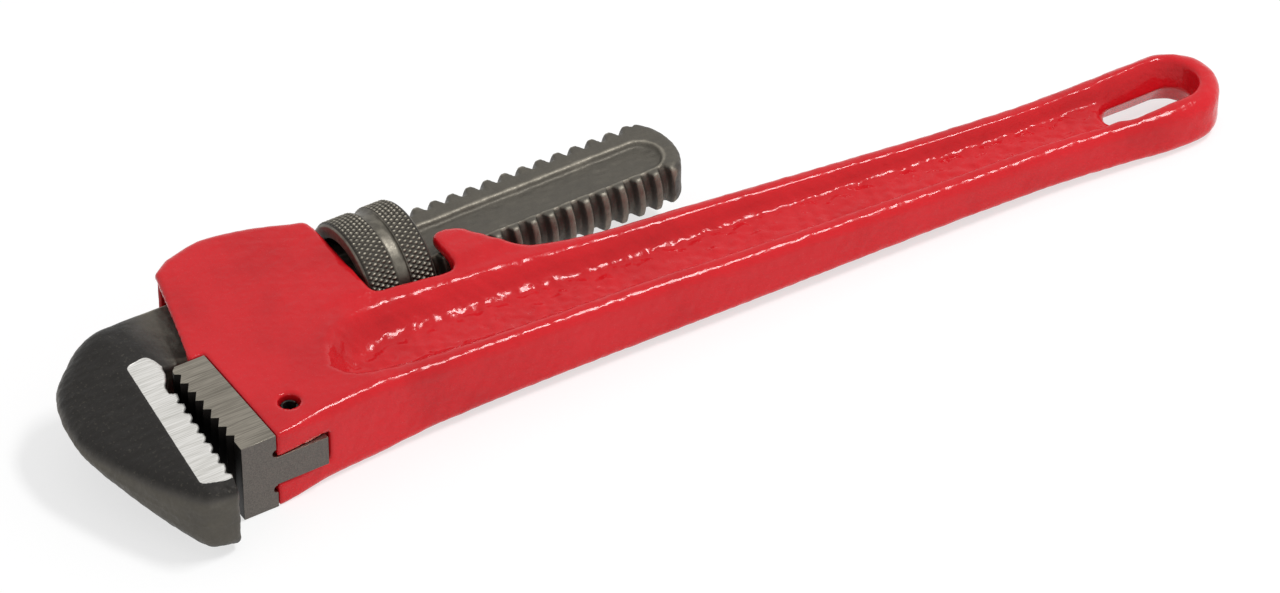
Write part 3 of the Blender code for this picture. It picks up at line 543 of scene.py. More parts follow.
@dataclass(frozen=True)
class RedEnamel(Finish):
    """Glossy red enamel brushed over a sand casting.

    The film follows the sand's grain, so that highlights break up along every edge, and it is
    a little thinner and darker in the pits.
    """

    name: str = "enamel_on_sand_casting"
    roughness: float = 0.24
    metallic: float = 0.0
    body: str = "#D11821"
    pit: str = "#C4141D"
    bright: str = "#D61B25"
    patch_width: float = 22.0
    pit_width: float = 3.4
    sand_width: float = 1.5
    sand_depth: float = 0.17
    brush_width: float = 0.5
    brush_depth: float = 0.014

    def build(self) -> Material:
        """Make the material.

        Returns:
            The finish, ready for a piece.
        """
        made, tree, shader, place = self.start()
        patch, pit, sand, brush = (
            add_node(tree, Kind.NOISE, {"Vector": place, "Scale": 1 / width, "Detail": detail,
                                        "Roughness": rough})
            for width, detail, rough in ((self.patch_width, 3, 0.55), (self.pit_width, 2, 0.55),
                                         (self.sand_width, 2, 0.5), (self.brush_width, 2, 0.5)))
        film = add_node(tree, Kind.COLOUR_RAMP, [patch], stops=[(0.3, self.pit), (0.5, self.body),
                                                                (0.72, self.bright)])
        in_pits = add_node(tree, Kind.REMAP, [pit, 0.66, 0.76, 0, 0.35])
        grain = add_node(tree, Kind.BUMP, {"Height": sand, "Distance": self.sand_depth * MM})
        feed(shader, {
            "Base Color": add_node(tree, Kind.MIX, {0: in_pits, 6: film, 7: linear(self.pit)}, 2,
                                   data_type="RGBA"),
            "Roughness": add_node(tree, Kind.REMAP, [brush, 0.3, 0.7, 0.17, 0.28]),
            "Normal": add_node(tree, Kind.BUMP, {"Height": brush, "Distance": self.brush_depth * MM,
                                                 "Normal": grain}),
            "Specular IOR Level": 0.1, "Coat Weight": 0.32, "Coat Roughness": 0.07})
        return made


def scratches(tree: Tree, place: Socket, turn: float, light: str, dark: str) -> tuple[Socket, Socket, Socket]:
    """Make the long fine scratches of a grinding wheel or a belt.

    They are noise stretched 40 times along x and turned about z, with broad bands in it.  Real
    ones are 0.05 mm apart; they are drawn 0.24 mm apart so that they show.

    Args:
        tree: Node tree.
        place: Coordinates in millimetres.
        turn: Turn of the scratches about z, in degrees.
        light: Colour of the bare metal.
        dark: Colour in the scratches.

    Returns:
        Colour, roughness and normal.
    """
    spacing, band, depth, stretch = 0.24, 2.4, 0.02, 40
    along = add_node(tree, Kind.MAPPING, {"Vector": place, "Rotation": (0, 0, math.radians(turn)),
                                          "Scale": (1 / stretch, 1, 1)})
    lines, bands = (
        add_node(tree, Kind.NOISE, {"Vector": along, "Scale": 1 / width, "Detail": 2, "Roughness": rough})
        for width, rough in ((spacing, 0.5), (band, 0.55)))
    both = add_node(tree, Kind.MIX, {0: 0.25, 2: lines, 3: bands})
    return (add_node(tree, Kind.COLOUR_RAMP, [both], stops=[(0.36, dark), (0.6, light)]),
            add_node(tree, Kind.REMAP, [both, 0.3, 0.7, 0.46, 0.3]),
            add_node(tree, Kind.BUMP, {"Height": lines, "Distance": depth * MM}))


@dataclass(frozen=True)
class HeatTreatedSteel(Finish):
    """Drop-forged steel as it leaves the quench: dark, matt, with scale in a fine mottle.

    The attribute wear, 0 to 1, says how far the scale is rubbed off; on the hook jaw it also
    carries painted light, lighter on the head's sides, and a painted highlight along the
    shank panel's rim.  Where the piece carries ground faces, the attribute ground_edge holds
    the distance to their boundary, negative inside, and those faces show bare steel with the
    wheel's long scratches.
    """

    name: str = "heat_treated_forging"
    roughness: float = 0.52
    metallic: float = 0.75
    scaled: str = "#292725"
    # Painted light: the lighter tone that the hook head's sides are painted with.
    side: str = "#4A4743"
    rubbed: str = "#5B574F"
    bright: str = "#8F897D"
    speck: str = "#5E5A52"
    bare: str = "#E2E0DC"
    bare_dark: str = "#BAB8B2"
    patch_width: float = 5.0
    scale_width: float = 0.8
    scale_depth: float = 0.09
    has_ground_faces: bool = False
    scratch_turn: float = 0.0

    def build(self) -> Material:
        """Make the material.

        Returns:
            The finish, ready for a piece.
        """
        made, tree, shader, place = self.start()
        patch, scale = (
            add_node(tree, Kind.NOISE, {"Vector": place, "Scale": 1 / width, "Detail": detail,
                                        "Roughness": rough})
            for width, detail, rough in ((self.patch_width, 4, 0.55), (self.scale_width, 3, 0.6)))
        wear = add_node(tree, Kind.ATTRIBUTE, output="Fac", attribute_name="wear")
        shift = add_node(tree, Kind.REMAP, [patch, 0.25, 0.75, -0.09, 0.09])
        uneven = add_node(tree, Kind.MATHS, [wear, shift], operation="ADD")
        # Painted light: the side tone lightens the hook head's sides, and the bright end also paints a
        # highlight along the panel's rim.
        rubbed = add_node(tree, Kind.COLOUR_RAMP, [uneven], stops=[
            (0.02, self.scaled), (0.4, self.side), (0.75, self.rubbed), (1.0, self.bright)])
        specks = add_node(tree, Kind.REMAP, [scale, 0.58, 0.74, 0, 0.5])
        colour = add_node(tree, Kind.MIX, {0: specks, 6: rubbed, 7: linear(self.speck)}, 2, data_type="RGBA")
        matt = add_node(tree, Kind.REMAP, [scale, 0.3, 0.7, self.roughness - 0.08, self.roughness + 0.1])
        normal = add_node(tree, Kind.BUMP, {"Height": scale, "Distance": self.scale_depth * MM})
        if self.has_ground_faces:
            edge = add_node(tree, Kind.ATTRIBUTE, output="Fac", attribute_name="ground_edge")
            ground = add_node(tree, Kind.REMAP, [edge, -0.06, 0.06, 1, 0])
            bare, shine, lines = scratches(tree, place, self.scratch_turn, self.bare, self.bare_dark)
            colour = add_node(tree, Kind.MIX, {0: ground, 6: colour, 7: bare}, 2, data_type="RGBA")
            matt = add_node(tree, Kind.MIX, {0: ground, 2: matt, 3: shine})
            normal = add_node(tree, Kind.MIX, {0: ground, 4: normal, 5: lines}, 1, data_type="VECTOR")
        feed(shader, {"Base Color": colour, "Roughness": matt, "Normal": normal})
        return made


@dataclass(frozen=True)
class GroundSteel(Finish):
    """Tool steel ground on a belt: bare, with scratches across the jaw.

    The attribute face_kind is 1 on the ground faces, 0.5 on the milled ones, which are greyer
    and finely pitted, and 0 on the teeth, which are burnt black by hardening.
    """

    name: str = "belt_ground_tool_steel"
    roughness: float = 0.36
    milled_roughness: float = 0.48
    metallic: float = 1.0
    light: str = "#918B80"
    dark: str = "#6A655C"
    milled: str = "#5F5A57"
    burnt: str = "#1E1C1B"
    smudge_width: float = 6.0
    pit_width: float = 0.35
    pit_depth: float = 0.03
    scratch_turn: float = 0.0

    def build(self) -> Material:
        """Make the material.

        Returns:
            The finish, ready for a piece.
        """
        made, tree, shader, place = self.start()
        smudge, pits = (
            add_node(tree, Kind.NOISE, {"Vector": place, "Scale": 1 / width, "Detail": 3, "Roughness": rough})
            for width, rough in ((self.smudge_width, 0.55), (self.pit_width, 0.6)))
        bare, shine, lines = scratches(tree, place, self.scratch_turn, self.light, self.dark)
        side = add_node(tree, Kind.ATTRIBUTE, output="Fac", attribute_name="face_kind")
        is_smudged, is_pitted, is_milled, is_ground = (
            add_node(tree, Kind.REMAP, values)
            for values in ([smudge, 0.45, 0.8, 0, 0.35], [pits, 0.35, 0.65, 0, 0.3], [side, 0, 0.5, 0, 1],
                           [side, 0.6, 0.9, 0, 1]))
        dark, light, grey, burnt = (linear(name) for name in (self.dark, self.light, self.milled, self.burnt))
        ground = add_node(tree, Kind.MIX, {0: is_smudged, 6: bare, 7: dark}, 2, data_type="RGBA")
        milled = add_node(tree, Kind.MIX, {0: is_pitted, 6: grey, 7: light}, 2, data_type="RGBA")
        rest = add_node(tree, Kind.MIX, {0: is_milled, 6: burnt, 7: milled}, 2, data_type="RGBA")
        pitted = add_node(tree, Kind.BUMP, {"Height": pits, "Distance": self.pit_depth * MM})
        feed(shader, {
            "Base Color": add_node(tree, Kind.MIX, {0: is_ground, 6: rest, 7: ground}, 2, data_type="RGBA"),
            "Roughness": add_node(tree, Kind.MIX, {0: is_ground, 2: self.milled_roughness, 3: shine}),
            "Normal": add_node(tree, Kind.MIX, {0: is_ground, 4: pitted, 5: lines}, 1, data_type="VECTOR")})
        return made


@dataclass(frozen=True)
class BlackenedSteel(Finish):
    """Blackened turned steel, rubbed bright on the points of its knurl.

    The attribute wear is 1 on the points and 0 in the grooves.
    """

    name: str = "blackened_turned_steel"
    roughness: float = 0.42
    metallic: float = 0.85
    groove: str = "#2E2B27"
    face: str = "#5C5850"
    point: str = "#A19B8D"
    patch_width: float = 2.2
    grain_width: float = 0.5
    grain_depth: float = 0.03

    def build(self) -> Material:
        """Make the material.

        Returns:
            The finish, ready for a piece.
        """
        made, tree, shader, place = self.start()
        patch, grain = (
            add_node(tree, Kind.NOISE, {"Vector": place, "Scale": 1 / width, "Detail": 3, "Roughness": rough})
            for width, rough in ((self.patch_width, 0.55), (self.grain_width, 0.6)))
        wear = add_node(tree, Kind.ATTRIBUTE, output="Fac", attribute_name="wear")
        share = add_node(tree, Kind.REMAP, [patch, 0.35, 0.65, 0.8, 1.1])
        rubbed = add_node(tree, Kind.MATHS, [wear, share], operation="MULTIPLY")
        feed(shader, {
            "Base Color": add_node(tree, Kind.COLOUR_RAMP, [rubbed], stops=[
                (0.05, self.groove), (0.5, self.face), (1.0, self.point)]),
            "Roughness": add_node(tree, Kind.REMAP, [grain, 0.3, 0.7, 0.36, 0.52]),
            "Normal": add_node(tree, Kind.BUMP, {"Height": grain, "Distance": self.grain_depth * MM})})
        return made


@dataclass(frozen=True)
class SpringSteel(Finish):
    """Tempered spring strip and wire: blue-grey, rolled smooth."""

    name: str = "tempered_spring_steel"
    roughness: float = 0.34
    metallic: float = 1.0
    light: str = "#8A8F95"
    dark: str = "#5B6068"
    patch_width: float = 3.0

    def build(self) -> Material:
        """Make the material.

        Returns:
            The finish, ready for a piece.
        """
        made, tree, shader, place = self.start()
        patch = add_node(tree, Kind.NOISE, {"Vector": place, "Scale": 1 / self.patch_width, "Detail": 3,
                                            "Roughness": 0.55})
        feed(shader, {
            "Base Color": add_node(tree, Kind.COLOUR_RAMP, [patch], stops=[
                (0.35, self.dark), (0.65, self.light)]),
            "Roughness": add_node(tree, Kind.REMAP, [patch, 0.3, 0.7, 0.3, 0.42])})
        return made


def deliver(piece: Piece, finish: Material, body: str, slot: Slot, node: str) -> None:
    """Give a piece its finish and its body, and let it stand for its node.

    Args:
        piece: Finished piece.
        finish: Its material.
        body: Body that it moves with.
        slot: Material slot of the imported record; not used.
        node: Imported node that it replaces.
    """
    piece.data.materials.clear()
    piece.data.materials.append(finish)
    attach(piece, body)
    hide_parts(node)
    LOG.info("%s: %d faces on body %s", piece.name, len(piece.data.polygons), body)


@dataclass
class Thread:
    """The shank's coarse thread: its radius is a trapezoid wave along the turning axis.

    At a place, the wave's phase is x less a pitch times the share of a turn round the axis.
    """

    pitch: float = 5.08
    depth: float = 2.0
    crest_radius: float = 11.85
    crest_width: float = 1.35
    flank_slope: float = math.tan(math.radians(29.5))
    crest_x: float = 73.5
    axis_y: float = 51.3

    def radius(self, x: Array, share_of_turn: Array, rounding: float = 0.0) -> Array:
        """Return the thread's radius where x and the share of a turn say.

        Args:
            x: Place along the axis.
            share_of_turn: Angle from +y towards +z, in turns.
            rounding: How much the crests' corners are rounded.

        Returns:
            Radius of the surface.
        """
        phase = (x - self.crest_x) / self.pitch - share_of_turn
        from_crest = np.abs((phase + 0.5) % 1 - 0.5) * self.pitch
        fall = (from_crest - self.crest_width / 2) / self.flank_slope
        if rounding:
            return self.crest_radius - smooth_least(smooth_most(fall, 0 * fall, rounding),
                                                    0 * fall + self.depth, rounding)
        return self.crest_radius - np.clip(fall, 0, self.depth)


@dataclass
class CastHandle:
    """Cast housing and handle in one, with a drafted recess along each side.

    The body is the plan outline with a rounded edge and a thickness that tapers down the
    handle; the recess lowers the face by the distance inside its rim times the wall's slope,
    down to the web; passages and holes are taken off with a small rounding for the enamel.
    The wall's slopes are given as places along x with the slope there, and a change as the
    places between which it happens.
    """

    thread: Thread
    lip_reach: float = 3.9
    lip_y: float = 35.2
    housing_back_y: float = 74.5
    shank_back_y: float = 63.15
    body_thickness: float = 22.2
    root_thickness: float = 17.3
    grip_thickness: float = 12.0
    eye_thickness: float = 13.2
    window_front_x: float = 46.2
    window_back_x: float = 69.2
    window_floor_y: float = 33.9
    hump_top_y: float = 47.6
    root_x: float = 105.0
    root_y: float = 14.6
    drop: float = 0.0737
    reach: float = 273.7
    root_half_width: float = 14.0
    waist_half_width: float = 11.0
    eye_half_width: float = 12.8
    edge_radius: float = 2.7
    eye_edge_share: float = 1.35
    eye_edge_start: float = 37.7
    eye_edge_end: float = 11.7
    window_radius: float = 1.3
    crisp_radius: float = 0.5
    flange: float = 4.5
    wall_slopes: tuple[tuple[float, float], ...] = (
        (26, 1.5), (40, 1.2), (60, 1.15), (105, 1.5), (160, 1.9), (240, 2.3))
    web: float = 6.4
    grip_web: float = 4.8
    web_change: tuple[float, float] = (60, 200)
    rim_rounding: float = 1.7
    floor_rounding: float = 2.6
    eye_rounding: float = 1.0
    passage_rounding: float = 0.7
    slot_rounding: float = 0.35
    hole_rounding: float = 0.6
    passage_near_y: float = 37.8
    passage_half: float = 7.1
    passage_corner: float = 1.6
    passage_overrun: float = 4.0
    mouth_depth: float = 14.0
    mouth_flare: float = 2.8
    spring_space: float = 7.35
    leaf_clearance: float = 0.85
    eye_length: float = 25.0
    eye_radius: float = 5.4
    eye_end_wall: float = 6.7
    eye_flare: float = 2.9
    pin_place: tuple[float, float] = (8.64, 9.4)
    pin_hole_radius: float = 2.73
    tongue_slot: tuple[float, float, float] = (14.9, 35.0, 4.45)
    ear_slot_half: float = 6.8
    ear_slot_clearance: float = 2.5
    ear_slot_corner: float = 2.0
    ear_slot_rounding: float = 1.2
    ear_slot_overlap: float = 3.0
    coil_x: float = 20.0
    coil_hole_radius: float = 3.5
    coil_hole_floor_y: float = 30.8
    coil_hole_overrun: float = 1.0
    lowest_y: float = -13.0
    margin: float = 1.5
    cell: float = 0.68
    housing_skin: float = 0.015
    grip_skin: float = 0.035
    skin_change: tuple[float, float] = (16, 32)
    recess_skin_share: float = 3.0
    recess_skin_depths: tuple[float, float] = (0.3, 1.5)
    sand: CastTexture = CastTexture(seed=11, shortest=1.9, longest=6.0)
    plan: PlanOutline = field(init=False)
    rim: PlanOutline = field(init=False)

    def __post_init__(self) -> None:
        """Sample the casting's outline and the recess's rim."""
        self.plan = PlanOutline(self.outline())
        self.rim = PlanOutline(self.recess_rim())

    def line(self, x: Array) -> Array:
        """Return the y of the handle's centre line: straight, drooping towards the eye."""
        return self.root_y - self.drop * (x - self.root_x)

    def half_width(self, x: Array) -> Array:
        """Give half the handle's width: a slow taper to a waist, then out to the eye.

        Args:
            x: Places along the handle.

        Returns:
            The distance from the centre line to the edge.
        """
        shares = np.array([0, 0.15, 0.35, 0.5, 0.62, 0.69, 0.8, 0.9])
        taper = self.root_half_width - self.waist_half_width
        flare = self.eye_half_width - self.waist_half_width
        widths = self.waist_half_width + np.array(
            [taper, 0.88 * taper, 0.54 * taper, 0.27 * taper, 0.1 * taper, 0, 0.45 * flare, flare])
        return np.interp(x, self.root_x + shares * (self.reach - self.root_x), widths)

    def outline(self) -> Array:
        """Draw the casting from above, counter-clockwise from the heel jaw's seat.

        Returns:
            Rows of x, y and edge radius.
        """
        full, tip, wide = self.edge_radius, self.crisp_radius, self.eye_half_width
        grip = self.root_x + (self.reach - self.root_x) * np.array([0.15, 0.3, 0.45, 0.6, 0.7, 0.8, 0.89])
        near_root = self.root_y - self.root_half_width
        near = [(0, 0, tip), (6, 0.4, full / 2), (16, 1.5, full), (35, 2.6, full), (60, 2.4, full),
                (self.root_x - 22, near_root + 0.9, full), (self.root_x, near_root, full)]
        near += [(x, self.line(x) - self.half_width(x), full) for x in grip]
        far = [(x, self.line(x) + self.half_width(x), full) for x in grip[::-1]]
        end_y = self.line(self.reach)
        end = [(self.reach - 7.7, end_y - 0.84 * wide, full), (self.reach - 1.3, end_y - 0.4 * wide, full),
               (self.reach + 0.9, end_y + 0.12 * wide, full), (self.reach - 1.2, end_y + 0.66 * wide, full),
               (self.reach - 8.2, end_y + 1.06 * wide, full)]
        back, top = self.window_back_x, self.hump_top_y
        hump = [(self.root_x, self.root_y + self.root_half_width, full), (back + 20, top - 14.6, full),
                (back + 14, top - 8.6, full), (back + 9, top - 2, full), (back + 5, top, full)]
        front, floor, roof, corner = self.window_front_x, self.window_floor_y, self.housing_back_y, 3.0
        window = np.vstack([arc((back + corner, top - 0.6 - corner), corner, 105, 180),
                            arc((back - corner, floor - 1 + corner), corner, 0, -85),
                            arc((front + 2, floor + 0.7 + 2), 2, -95, -180)])
        housing = [(front, self.shank_back_y - 0.6, self.window_radius),
                   (front - 1.2, self.shank_back_y + 3, self.window_radius),
                   (0.87 * front, roof - 5.4, full), (0.7 * front, roof - 2.3, full),
                   (0.43 * front, roof, full), (0.2 * front, roof - 2.3, full)]
        mouth = [(0.1 * front, roof - 6.3, self.window_radius),
                 (-self.lip_reach, self.lip_y + 0.9, tip), (-self.lip_reach, self.lip_y, tip),
                 (0, self.lip_y, tip)]
        return np.vstack([curve_through(near + end + far + hump), with_radius(window, self.window_radius),
                          curve_through(housing), mouth])

    def recess_rim(self) -> Array:
        """Draw the line where the recess leaves the face of the casting.

        Returns:
            Rows of x, y and an edge radius of 0.
        """
        end_x, straight = self.reach - 22, self.reach - 33.6 - self.root_x
        grip = self.root_x + straight * np.array([0.0, 0.2, 0.4, 0.625, 0.85, 1.0])
        near = [(x, self.line(x) - self.half_width(x) + self.flange) for x in grip]
        far = [(x, self.line(x) + self.half_width(x) - self.flange) for x in grip[::-1]]
        floor = self.window_floor_y
        closed = ([(23.5, 16), (26.6, 10.8), (35, 8.2), (65, 6.5)] + near
                  + [(end_x - 3, self.line(end_x) - 4.5), (end_x, self.line(end_x)),
                     (end_x - 3, self.line(end_x) + 6.5)] + far
                  + [(78, floor - 6), (51, floor - 3.6), (38, floor - 4.1), (28, floor - 9.5), (23.5, 16)])
        return with_radius(curve_through(closed)[:-1], 0)

    def half_thickness(self, x: Array, y: Array) -> Array:
        """Give half the thickness: full at the housing, tapering down to the grip and the eye.

        Beside the window's floor it runs from the beam's taper to that of the hump.

        Args:
            x, y: Points seen from above.

        Returns:
            The height of the face over the middle plane.
        """
        grip = self.reach - self.root_x
        low = np.interp(x, [30, 43, 60, 83, self.root_x, self.root_x + 0.148 * grip,
                            self.root_x + 0.296 * grip, self.root_x + 0.533 * grip, self.reach - 34,
                            self.reach - 18],
                        [self.body_thickness, self.body_thickness - 2.5, self.root_thickness + 1.2,
                         self.root_thickness, self.root_thickness - 0.7, self.grip_thickness + 3,
                         self.grip_thickness + 1.8, self.grip_thickness, self.grip_thickness,
                         self.eye_thickness])
        high = np.interp(x, [self.window_front_x, self.window_back_x, self.root_x],
                         [self.body_thickness, self.body_thickness - 2, self.root_thickness])
        share = ramp(y, self.window_floor_y - 3, self.window_floor_y + 3)
        return (low + share * (high - low)) / 2

    def recess_depth(self, x: Array, y: Array, half: Array) -> Array:
        """Give how far the recess lowers the face: a drafted wall, rounded at rim and floor.

        Args:
            x, y: Points seen from above.
            half: Half the thickness there.

        Returns:
            The distance inside the rim times the wall's slope, down to the web.
        """
        inside = -self.rim.at(x, y)[0]
        slope = np.interp(x, *zip(*self.wall_slopes))
        web = np.interp(x, self.web_change, [self.web / 2, self.grip_web / 2])
        wall = smooth_most(inside * slope, 0 * inside, self.rim_rounding)
        return smooth_least(wall, half - web, self.floor_rounding)

    def eye(self, x: Array, y: Array, z: Array, half: Array) -> Array:
        """Give the distance to the hanging hole: a slot that widens evenly from its mid-plane.

        Args:
            x, y, z: Points in the working frame.
            half: Half the thickness there.

        Returns:
            The distance, negative in the hole.
        """
        flare = self.eye_flare * np.abs(z) / half
        end = self.reach - self.eye_end_wall - self.eye_radius
        start = self.reach - self.eye_end_wall - self.eye_length + self.eye_radius
        centre_y = self.line(self.reach - self.eye_end_wall) + 0.4 + 0.35 * flare
        return slot_distance(x, y, start - 0.3 * flare, end - 0.25 * flare, centre_y, self.eye_radius + flare)

    def passage(self, x: Array, y: Array, z: Array) -> Array:
        """Give the distance to the shank's passage, with its flared mouth and spring room.

        The passage is an oblong with rounded corners, whose back and sides follow x.

        Args:
            x, y, z: Points in the working frame.

        Returns:
            The distance, negative in the passage.
        """
        inner = self.shank_back_y + self.spring_space + self.leaf_clearance
        back = np.interp(
            x, [0, self.mouth_depth, 0.45 * self.window_front_x, 0.72 * self.window_front_x, 43.2],
            [inner - 4, inner - 1, inner, inner - 2.6, self.shank_back_y + 1.36])
        half = self.passage_half + np.interp(x, [0, self.mouth_depth], [self.mouth_flare, 0])
        middle, reach = (back + self.passage_near_y) / 2, (back - self.passage_near_y) / 2
        bore = rounded_slab(np.abs(y - middle) - reach, np.abs(z) - half, self.passage_corner)
        return np.maximum(bore, x - self.window_front_x - self.passage_overrun)

    def shape(self, x: Array, y: Array, z: Array) -> Array:
        """Give the casting's distance field.

        It is the slab between the lowered faces, plus the sand's waves, less the hanging hole,
        the passage, the tongue's slot, the shank's slot between the ears behind the window, the
        cross pin's hole and the coil's pocket.

        Args:
            x, y, z: Points in the working frame.

        Returns:
            The distance, negative in the metal.
        """
        edge, radius = self.plan.at(x, y)
        half = self.half_thickness(x, y)
        lowered = half - self.recess_depth(x, y, half)
        rough = self.housing_skin + (self.grip_skin - self.housing_skin) * ramp(x, *self.skin_change)
        rough = rough * (1 + (self.recess_skin_share - 1) * ramp(half - lowered, *self.recess_skin_depths))
        at_eye = ramp(x, self.reach - self.eye_edge_start, self.reach - self.eye_edge_end)
        radius = radius * (1 + (self.eye_edge_share - 1) * at_eye)
        body = rounded_slab(edge, np.abs(z) - lowered, radius) + rough * self.sand.height(x, y, z)
        body = smooth_most(body, -self.eye(x, y, z, half), self.eye_rounding)
        body = smooth_most(body, -self.passage(x, y, z), self.passage_rounding)
        slot_x, slot_y, slot_half = self.tongue_slot
        slot = np.maximum(np.maximum(x - slot_x, y - slot_y), np.abs(z) - slot_half)
        body = smooth_most(body, -slot, self.slot_rounding)
        ear_floor = self.thread.axis_y - self.thread.crest_radius - self.ear_slot_clearance
        ears = smooth_most(np.abs(z) - self.ear_slot_half, ear_floor - y, self.ear_slot_corner)
        ears = np.maximum(ears, self.window_back_x - self.ear_slot_overlap - x)
        body = smooth_most(body, -ears, self.ear_slot_rounding)
        hole = np.hypot(x - self.pin_place[0], y - self.pin_place[1]) - self.pin_hole_radius
        body = smooth_most(body, -hole, self.hole_rounding)
        pocket = np.maximum(np.hypot(x - self.coil_x, z) - self.coil_hole_radius, self.coil_hole_floor_y - y)
        pocket = np.maximum(pocket, y - self.passage_near_y - self.coil_hole_overrun)
        return np.maximum(body, -pocket)

    def build(self, place: Place, finish: Material) -> None:
        """Mesh the casting and stand it in for its node.

        Args:
            place: Where the working frame lies.
            finish: Enamel.
        """
        top, margin = self.body_thickness / 2 + self.margin, self.margin
        points, faces = surface_of(self.shape, (-self.lip_reach - margin, self.lowest_y, -top),
                                   (self.reach + margin, self.housing_back_y + margin, top), self.cell)
        deliver(place.mesh("enamelled_handle", points, faces), finish, "frame", Slot.ENAMEL, "handle")


@dataclass
class ForgedHookJaw:
    """Hook jaw and threaded shank, one forging.

    The head is a slab with a full-round outer edge that thins towards its rim; the shank is the
    part of a threaded rod between two flats, with a long sunk panel in each flat; the tooth
    strip is ground flat on both sides.  A change is given as the distances between which it
    happens, and where it runs along the head they are measured towards -x.
    """

    thread: Thread
    thickness: float = 17.4
    stock: float = 0.25
    neck: tuple[float, float] = (1, 13.5)
    shank_half: float = 6.0
    shank_reach: float = 142.5
    end_dome: float = 8.5
    head_reach: float = 36.2
    tip_y: float = -9.8
    tooth_line: float = -11.6
    tooth_pitch: float = 4.0
    tooth_height: float = 1.26
    tooth_count: int = 8
    tooth_lean: float = 5.6
    throat_y: float = 25.4
    wedge_slope: float = 0.34
    wedge_offset: float = 0.6
    wedge_rounding: float = 1.4
    cheek_x: float = -21.7
    cheek_slope: float = 0.1057
    thread_start: float = 41.0
    thread_run_in: float = 3.0
    thread_stops: tuple[float, float] = (4, 7.5)
    thread_rounding: float = 0.35
    edge_limit: float = 0.95
    panel_start: float = 20.0
    panel_end: float = 137.5
    panel_near: float = 7.9
    panel_far: float = 3.7
    panel_depth: float = 1.25
    panel_draft: float = 1.5
    panel_rim_rounding: float = 0.3
    panel_floor_rounding: float = 0.5
    ground_drop: float = 0.22
    ground_margin: float = 0.3
    skin: float = 0.05
    flash: float = 0.16
    flash_width: float = 0.45
    flash_radii: tuple[float, float] = (2.5, 4)
    flash_change: tuple[float, float] = (14, 20)
    wear_change: tuple[float, float] = (2, 12)
    side_depths: tuple[float, float] = (0.5, 3)
    # Painted light: how much lighter the head's sides are painted than its faces.
    side_painted_light: float = 0.62
    shank_wear: float = 0.7
    # Rubbed thread crests, and the painted highlight along the panel's rim, go this bright.
    crest_wear_and_rim_highlight: float = 0.94
    crest_depths: tuple[float, float] = (0.7, 0.1)
    flank_wear: float = 0.45
    flank_depths: tuple[float, float] = (0.9, 2)
    flank_margin: float = 0.3
    # Painted highlight: a bright band just outside the shank panel's rim.
    rim_highlight_line: float = 0.25
    rim_highlight_width: float = 0.45
    rim_highlight_depth: float = 0.9
    margin: float = 1.2
    cell: float = 0.455
    scale: CastTexture = CastTexture(seed=5, shortest=1.6, longest=9.0)
    plan: PlanOutline = field(init=False)
    strip: PlanOutline = field(init=False)

    def __post_init__(self) -> None:
        """Sample the jaw's outline and the ground strip's."""
        self.plan = PlanOutline(self.outline(), cell=0.25)
        self.strip = PlanOutline(with_radius(self.strip_outline(), 0), cell=0.25)

    def teeth(self) -> Array:
        """Draw the teeth from the tip to the throat: a steep face up from each root.

        Returns:
            Rows of x and y.
        """
        lean = math.radians(self.tooth_lean)
        along = np.array([math.sin(lean), math.cos(lean)])
        first = np.array([self.tooth_line - self.tooth_height, self.throat_y])
        roots = first - np.arange(self.tooth_count)[::-1, None] * self.tooth_pitch * along
        shape = np.array([(0.75 * self.tooth_height, -0.64 * self.tooth_pitch),
                          (self.tooth_height, -0.25 * self.tooth_pitch), (0, 0)])
        return (roots[:, None, :] + shape[None, :, :]).reshape(-1, 2)

    def outline(self) -> Array:
        """Draw the jaw from above, from the tip's teeth round the shank and back over the head.

        Returns:
            Rows of x, y and edge radius.
        """
        axis, radius = self.thread.axis_y, self.thread.crest_radius
        line, throat = self.tooth_line, self.throat_y
        inner = curve_through([(line, throat + 1.2, 0.1), (line + 0.4, throat + 3.2, 0.2),
                               (line - 1.1, throat + 4.1, 0.3), (line - 0.6, throat + 7.2, 0.4),
                               (line + 1, throat + 9.5, 0.5), (line + 1.9, throat + 11.6, 0.8),
                               (line + 2.3, axis - radius - 1, 1.0)], 5)
        dome_x = self.shank_reach - self.end_dome
        shank = [(-6, axis - radius, 1.2), (18, axis - radius, 0.8), (dome_x, axis - radius, 0.8)]
        angles = np.radians(np.linspace(-80, 80, 25))
        dome = np.column_stack([dome_x + self.end_dome * np.cos(angles), axis + radius * np.sin(angles),
                                np.full(len(angles), 2.2)])
        back = [(dome_x, axis + radius, 0.8), (18, axis + radius, 0.8), (0, axis + radius, 1.2)]
        reach, tip = self.head_reach, self.tip_y
        head = curve_through([
            (-12, axis + radius, 3.4), (-18, axis + radius - 0.8, 5.4), (-25.2, axis + 7.2, 5.4),
            (0.12 - 0.905 * reach, axis - 1.2, 4.8), (-reach, axis - 16, 4.2),
            (-0.978 * reach, axis - 27.8, 4.2), (-0.889 * reach, tip + 20.7, 4.2), (-28.6, tip + 10, 4.8),
            (-24.6, tip + 2.1, 4.9), (-20.5, tip + 0.05, 4.4), (-17.1, tip, 3.6), (-15.6, tip + 0.7, 2.4),
            (-15.2, tip + 2.2, 1.0)])
        return np.vstack([with_radius(self.teeth(), 0.1), inner, shank, dome, back, head])

    def strip_outline(self) -> Array:
        """Draw the ground tooth strip, which runs past the teeth.

        Returns:
            Rows of x and y.
        """
        foot = (-22.3, -2.6)
        top = curve_through([(-17.2, 42.3), (-16.4, 43.1), (-15.1, 43.4), (-12.6, 43.9), (-11.3, 43.7),
                             (-10.2, 42.4), (-9.4, 39.5)], 4)
        low = curve_through([(-6, -5), (-14.9, -5.1), (-16.8, -5.2), (-19.7, -4.3), (-21.6, -3.5), foot], 4)
        return np.vstack([foot, top, (-6, 36), low[:-1]])

